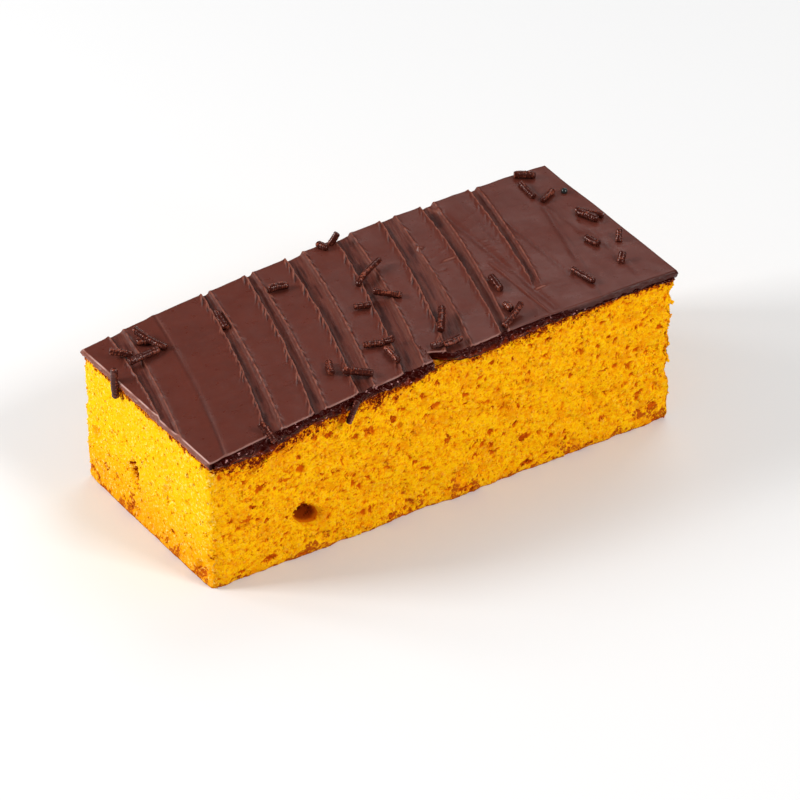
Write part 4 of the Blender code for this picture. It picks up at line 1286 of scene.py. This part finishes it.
class CAKE_OT_crumbs(bpy.types.Operator):
    """Scatter the crumbs that stand out of the torn faces"""
    bl_idname = "cake.crumbs"
    bl_label = "Crumbs"

    def execute(self, context):
        looks = context.scene.cake_crumbs
        sponge = context.scene.cake_sponge
        draw = np.random.default_rng(3)
        parts = (
            self.strewn(draw, looks.small, SMALL_CRUMB, 1, sponge),
            self.strewn(draw, looks.large, LARGE_CRUMB, 2, sponge),
            self.under_icing(draw, looks.stained, STAINED_CRUMB, sponge),
        )
        points = np.concatenate([part[0] for part in parts])
        steps = np.cumsum([0] + [len(part[0]) for part in parts[:-1]])
        faces = np.concatenate([part[1] + step for part, step in zip(parts, steps)]).tolist()
        numbers = {name: np.concatenate([part[2][name] for part in parts]) for name in parts[0][2]}
        make_piece("crumbs", points, faces, numbers, [sponge_material(sponge)])
        return {"FINISHED"}

    def strewn(self, draw, count, sizes, subdivisions, sponge):
        """Crumbs all over the four cut faces."""
        share = draw.uniform(0.0, 1.0, count)
        rise = draw.uniform(0.012, 0.985, count)
        return self.lumps(draw, share, rise, sizes, subdivisions, sponge)

    def under_icing(self, draw, count, sizes, sponge):
        """Dark crumbs in the stained band on the front face."""
        share = draw.uniform(0.0, 0.85 * LENGTH / OUTLINE_LENGTH, count)
        x, y, _, _ = outline(share)
        low = rim_edge(x, STAIN_COLUMN) - 0.0012
        level = between(rim_edge(x, WET_COLUMN), low, draw.uniform(0.0, 1.0, count) ** 1.3)
        rise = np.minimum(0.99, level / icing_underside(x, y))
        points, faces, values = self.lumps(draw, share, rise, sizes, 1, sponge)
        stain = np.repeat(draw.uniform(0.1, 0.75, count), len(points) // count)
        values["stain"] = np.maximum(values["stain"], stain)
        return points, faces, values

    def lumps(self, draw, share, rise, sizes, subdivisions, sponge):
        """Points, triangles and colour numbers of one crumb at each place."""
        count = len(share)
        places, outward, values = crumb_surface(share, rise, sponge)
        size = draw.uniform(*sizes, count)[:, None] * draw.uniform(0.6, 1.25, (count, 3))
        sunk = np.where(outward[0] < -0.5, 0.55, 0.0) * (draw.uniform(0.0, 1.0, count) < CLEAN_SHARE)
        stand = (draw.uniform(-0.2, 0.7, count) - sunk) * size.mean(axis=1)
        places = places + points_of(*outward, 0.0) * stand[:, None]
        points, faces = scattered_lumps(draw, places, size, subdivisions)
        points[:, 2] = np.maximum(points[:, 2], 0.0)
        values["pore"] = values["pore"] * 0.2
        values["grain"] = draw.uniform(0.2, 1.0, count)
        values["crevice"] = draw.uniform(0.0, 0.45, count)
        repeats = len(points) // count
        return points, faces, {name: np.repeat(numbers, repeats) for name, numbers in values.items()}


# ---- Sprinkles ---------------------------------------------------------------------
class SprinkleLooks(bpy.types.PropertyGroup):
    brown: colour_property("Brown", "Colour of the chocolate sprinkles", (0.046, 0.0080, 0.0050))
    # Painted highlight colour on the sprinkles' raised ribs.
    worn: colour_property("Worn", "Colour of their rubbed ridges", (0.200, 0.047, 0.026))
    roughness: length_property("Roughness", "Height of the bumps on a sprinkle", 0.00014)
    bead: colour_property("Bead", "Colour of the one round bead", (0.010, 0.013, 0.012))


ROD_SIDES, ROD_PITCH = 18, 0.00024
ROD_TIP = np.array((0.0, 0.00008, 0.00022, 0.00045))    # rings of the rounded ends, from the tip
TIP_LENGTH, TIP_GIRTH = 0.0007, 0.72
ROD_BEND = 0.030                # rise of a bent sprinkle's middle, next to its length
RIB_PITCH, RIB_SHARE = 0.00062, 0.28


def rod(length, radius, seed, roughness):
    """Points, quads and rib heights of a rough, slightly bent rod along X; the rib heights carry a
    painted highlight.
    """
    count = max(4, round(length / ROD_PITCH))
    inner = np.linspace(TIP_LENGTH, length - TIP_LENGTH, count)
    stations = np.concatenate((ROD_TIP, inner, (length - ROD_TIP)[::-1])) - length / 2
    tip_share = np.clip((length / 2 - np.abs(stations)) / ROD_TIP[-1], 0.0, 1.0)
    girth = radius * between(TIP_GIRTH, 1.0, np.sqrt(tip_share))
    angle = np.arange(ROD_SIDES) / ROD_SIDES * 2.0 * math.pi
    ring = points_of(0.0, np.cos(angle), np.sin(angle))
    shape = ring[None] * girth[:, None, None] + points_of(stations, 0.0, 0.0)[:, None]
    place = (seed * 3.7, seed * 1.3, 0.0)
    bumps = smooth_noise(shape * (0.8, 1.0, 1.0), 0.00042, place)
    bumps += 0.8 * smooth_noise(shape * (0.12, 1.0, 1.0), 0.00075, place)
    uneven = 3.0 * smooth_noise(points_of(stations, 0.0, seed), 0.001)
    bumps += RIB_SHARE * np.sin(2.0 * math.pi * stations / RIB_PITCH + uneven)[:, None]
    shape = shape + ring[None] * (roughness * bumps)[..., None]
    bent = ROD_BEND * length * math.sin(seed * 2.3) * (1.0 - (2.0 * stations / length) ** 2)
    shape[..., 2] += bent[:, None]
    shape[..., 1] += 0.6 * bent[:, None]
    first = np.arange(ROD_SIDES)
    last = first + (len(stations) - 1) * ROD_SIDES
    faces = grid_faces(ROD_SIDES, len(stations), closed=True)[:, ::-1].tolist()
    faces += [first.tolist(), last[::-1].tolist()]
    return shape.reshape(-1, 3), faces, bumps.ravel()


def sprinkle_material(looks):
    recipe = Recipe(
        "chocolate_sprinkle", looks.brown,
        Specular_IOR_Level=0.42, Specular_Tint=(1.0, 0.66, 0.60, 1.0))
    # Painted highlight on the raised ribs.
    recipe.lay(recipe.ramp(recipe.value("rubbed"), 0.08, 0.60), looks.worn)
    rough = recipe.ramp(recipe.noise(0.0012, 2.0), 0.35, 0.7, 0.16, 0.30)
    grain = recipe.bump(recipe.noise(0.0003, 3.0), 0.00005, 0.7)
    return recipe.finish(Roughness=rough, Normal=grain)


LEAST_STANDING = 35.0           # degrees that a sprinkle leans before it counts as standing
PLUMPNESS = 1.14                # how much thicker a sprinkle looks than its plain rod
SUNK_SHARE = 0.88               # height of a lying sprinkle's axis over the icing, in radii
BEAD_RISE, BEAD_DENTS = 0.6, 0.10               # both in the bead's radii


class CAKE_OT_sprinkles(bpy.types.Operator):
    """Strew the chocolate sprinkles over the icing, and set the one round bead"""
    bl_idname = "cake.sprinkles"
    bl_label = "Sprinkles"

    def execute(self, context):
        looks = context.scene.cake_sprinkles
        draw = random.Random(SPRINKLE_SEED)
        all_points, all_faces, all_raised_highlights = [], [], []
        count = 0
        for number, (x, y, lift, heading, lean, length) in enumerate(SPRINKLES):
            radius = SPRINKLE_RADIUS * draw.uniform(1.0 - THICKNESS_SPREAD, 1.0 + THICKNESS_SPREAD)
            radius *= PLUMPNESS
            points, faces, rubbed = rod(length, radius, number + 1.0, looks.roughness)
            turn = Matrix.Rotation(math.radians(heading), 3, "Z")
            turn = turn @ Matrix.Rotation(-math.radians(lean), 3, "Y")
            place = np.array((x, y, solid_height(x, y) + lift))
            if abs(lean) < LEAST_STANDING:
                place[2] += self.clearing(place, turn @ Vector((1.0, 0.0, 0.0)), length, radius)
            points = points @ np.array(turn).T + placed(*place)
            all_points.append(points)
            all_faces += [[index + count for index in face] for face in faces]
            all_raised_highlights.append(rubbed)
            count += len(points)
        make_piece(
            "sprinkles", np.concatenate(all_points), all_faces,
            {"rubbed": np.concatenate(all_raised_highlights)}, [sprinkle_material(looks)],
        )
        self.make_bead(looks)
        return {"FINISHED"}

    def clearing(self, place, axis, length, radius):
        """How far a lying sprinkle has to rise to lie on the icing and not in it."""
        along_rod = np.linspace(-0.45, 0.45, 9)[:, None] * length * np.array(axis) + place
        surface, _ = icing_surface(along_rod[:, 0], along_rod[:, 1])
        return max(0.0, SUNK_SHARE * radius - (along_rod[:, 2] - surface).min())

    def make_bead(self, looks):
        """The round bead, sunk a little into the icing."""
        bm = bmesh.new()
        bmesh.ops.create_uvsphere(bm, u_segments=28, v_segments=16, radius=BEAD_RADIUS)
        points = np.array([vert.co for vert in bm.verts])
        faces = [[vert.index for vert in face.verts] for face in bm.faces]
        bm.free()
        dents = smooth_noise(points, 0.0009, (2.0, 2.0, 2.0))
        points = points * (1.0 + BEAD_DENTS * dents)[:, None]
        x, y = BEAD_PLACE
        centre = points_of(x, y, solid_height(x, y) + BEAD_RISE * BEAD_RADIUS) + CENTRE_SHIFT
        recipe = Recipe("dark_bead", looks.bead, Roughness=0.22)
        recipe.lay(recipe.noise(0.0006, 2.0), shade_of(looks.bead, 2.5))
        make_piece("bead", points + centre, faces, None, [recipe.finish()])


def solid_height(x, y):
    """Height of the icing's top at one place, with plain comb marks as the solid has."""
    height = icing_top(x) + SWELL_HEIGHT * noise.noise((x / SWELL_LENGTH, y / SWELL_LENGTH, 0.0))
    for front, back, half_front, half_back, depth, start, _ in GROOVES:
        half = between(half_front, half_back, across(y))
        aside = abs(x - bowed_line(front, back, y))
        opened = eased((y - start) / GROOVE_CLOSING) if start > FRONT else 1.0
        height += opened * (0.0005 * bell(aside - half, 0.0007) - depth * eased((half - aside) / 0.0009))
    for front, back, rise, width, _ in SINGLE_MARKS:
        height += rise * bell(x - bowed_line(front, back, y), width)
    return float(height)


# ---- Stage -------------------------------------------------------------------------
class StageLooks(bpy.types.PropertyGroup):
    floor: colour_property("Floor", "Colour of the floor", (0.80, 0.80, 0.80))
    surround: FloatProperty(
        name="Surround", description="Strength of the white surroundings", default=0.45)
    gleam: FloatProperty(
        name="Gleam", description="Strength of the surroundings in reflections", default=0.04)
    back: power_property("Back light", "Power of the light behind at the right", 2.7)
    rear: power_property("Rear light", "Power of the small light behind at the left", 2.2)
    left: power_property("Left light", "Power of the light at the left", 8.6)
    front: power_property("Front light", "Power of the light in front", 7.5)
    spark: power_property("Spark light", "Power of the small light that glints on the wet rim", 1.6)


# Each light's name, azimuth and elevation in degrees, distance and size.
LIGHTS = (
    ("back", 130.0, 48.0, 1.2, 0.60),
    ("rear", -143.0, 27.0, 1.2, 0.25),
    ("left", -118.0, 28.0, 1.1, 0.32),
    ("front", 20.0, 42.0, 1.3, 0.32),
    ("spark", 30.0, 11.0, 1.3, 0.12),
)
LENS, SENSOR = 198.0, 36.0      # millimetres
VIEW_DISTANCE = 1.2023
VIEW_ELEVATION, VIEW_AZIMUTH = math.radians(34.63), math.radians(-32.87)
VIEW_TARGET = Vector((-0.00138, -0.0106, 0.022)) + Vector(CENTRE_SHIFT)
FLOOR_SIZE = 8.0
WHITE = (1.0, 1.0, 1.0, 1.0)


def direction(azimuth, elevation):
    """Unit vector from the slice, where azimuth 0 is the front and 90 the right."""
    return Vector((
        math.sin(azimuth) * math.cos(elevation),
        -math.cos(azimuth) * math.cos(elevation),
        math.sin(elevation),
    ))


def add_area_light(name, azimuth, elevation, distance, size, power):
    """A square soft light that faces the slice."""
    light = bpy.data.lights.new(name, "AREA")
    light.size = size
    light.energy = power
    lamp = bpy.data.objects.new(name, light)
    back = direction(math.radians(azimuth), math.radians(elevation))
    lamp.location = VIEW_TARGET + back * distance
    lamp.rotation_euler = back.to_track_quat("Z", "Y").to_euler()
    bpy.context.scene.collection.objects.link(lamp)


def white_world(strength, gleam):
    """Surroundings that are seen as white, and shine and are mirrored at given strengths."""
    world = bpy.data.worlds.new("white_surroundings")
    world.use_nodes = True
    tree = world.node_tree
    path = tree.nodes.new("ShaderNodeLightPath")
    mixed = tree.nodes["Background"]
    mixed.inputs["Color"].default_value = WHITE
    mixed.inputs["Strength"].default_value = strength
    for ray, level in (("Is Glossy Ray", gleam), ("Is Camera Ray", 1.0)):
        seen = tree.nodes.new("ShaderNodeBackground")
        seen.inputs["Color"].default_value = WHITE
        seen.inputs["Strength"].default_value = level
        under, mixed = mixed, tree.nodes.new("ShaderNodeMixShader")
        tree.links.new(path.outputs[ray], mixed.inputs[0])
        tree.links.new(under.outputs[0], mixed.inputs[1])
        tree.links.new(seen.outputs[0], mixed.inputs[2])
    tree.links.new(mixed.outputs[0], tree.nodes["World Output"].inputs["Surface"])
    return world


class CAKE_OT_stage(bpy.types.Operator):
    """Set the pale floor, the soft studio light and the camera"""
    bl_idname = "cake.stage"
    bl_label = "Stage"

    def execute(self, context):
        looks = context.scene.cake_stage
        half = FLOOR_SIZE / 2
        corners = [(-half, -half, 0.0), (half, -half, 0.0), (half, half, 0.0), (-half, half, 0.0)]
        mesh = bpy.data.meshes.new("floor")
        mesh.from_pydata(corners, [], [(0, 1, 2, 3)])
        recipe = Recipe("pale_floor", looks.floor, Roughness=0.75)
        recipe.lay(recipe.noise(0.4, 2.0), shade_of(looks.floor, 0.97))
        mesh.materials.append(recipe.finish())
        floor = bpy.data.objects.new("floor", mesh)
        context.scene.collection.objects.link(floor)
        context.scene.world = white_world(looks.surround, looks.gleam)
        for name, azimuth, elevation, distance, size in LIGHTS:
            add_area_light(name, azimuth, elevation, distance, size, getattr(looks, name))
        camera_data = bpy.data.cameras.new("camera")
        camera_data.lens = LENS
        camera_data.sensor_width = SENSOR
        camera = bpy.data.objects.new("camera", camera_data)
        back = direction(VIEW_AZIMUTH, VIEW_ELEVATION)
        camera.location = VIEW_TARGET + back * VIEW_DISTANCE
        camera.rotation_euler = back.to_track_quat("Z", "Y").to_euler()
        context.scene.collection.objects.link(camera)
        context.scene.camera = camera
        context.scene.view_settings.view_transform = "Standard"
        return {"FINISHED"}


class CAKE_PT_panel(bpy.types.Panel):
    """The slice's pieces, with their sizes and colours"""
    bl_idname = "CAKE_PT_panel"
    bl_label = "Carrot Cake Slice"
    bl_space_type = "VIEW_3D"
    bl_region_type = "UI"
    bl_category = "Cake"

    def draw(self, context):
        for group, operators in PIECES:
            box = self.layout.box()
            looks = getattr(context.scene, group)
            for name in looks.bl_rna.properties.keys():
                if name not in ("rna_type", "name"):
                    box.prop(looks, name)
            for operator in operators:
                box.operator(operator.bl_idname)


PIECES = (
    ("cake_stage", (CAKE_OT_stage,)),
    ("cake_sponge", (CAKE_OT_sponge,)),
    ("cake_crumbs", (CAKE_OT_crumbs,)),
    ("cake_icing", (CAKE_OT_icing, CAKE_OT_smear)),
    ("cake_sprinkles", (CAKE_OT_sprinkles,)),
)
GROUPS = {
    "cake_stage": StageLooks,
    "cake_sponge": SpongeLooks,
    "cake_crumbs": CrumbLooks,
    "cake_icing": IcingLooks,
    "cake_sprinkles": SprinkleLooks,
}
CLASSES = (*GROUPS.values(), *(kind for _, kinds in PIECES for kind in kinds), CAKE_PT_panel)


def register():
    for kind in CLASSES:
        bpy.utils.register_class(kind)
    for name, group in GROUPS.items():
        setattr(bpy.types.Scene, name, PointerProperty(type=group))


def unregister():
    for name in GROUPS:
        delattr(bpy.types.Scene, name)
    for kind in reversed(CLASSES):
        bpy.utils.unregister_class(kind)


def main():
    register()
    bpy.ops.cake.stage()
    bpy.ops.cake.sponge()
    bpy.ops.cake.crumbs()
    bpy.ops.cake.icing()
    bpy.ops.cake.smear()
    bpy.ops.cake.sprinkles()


if __name__ == "__main__":
    main()
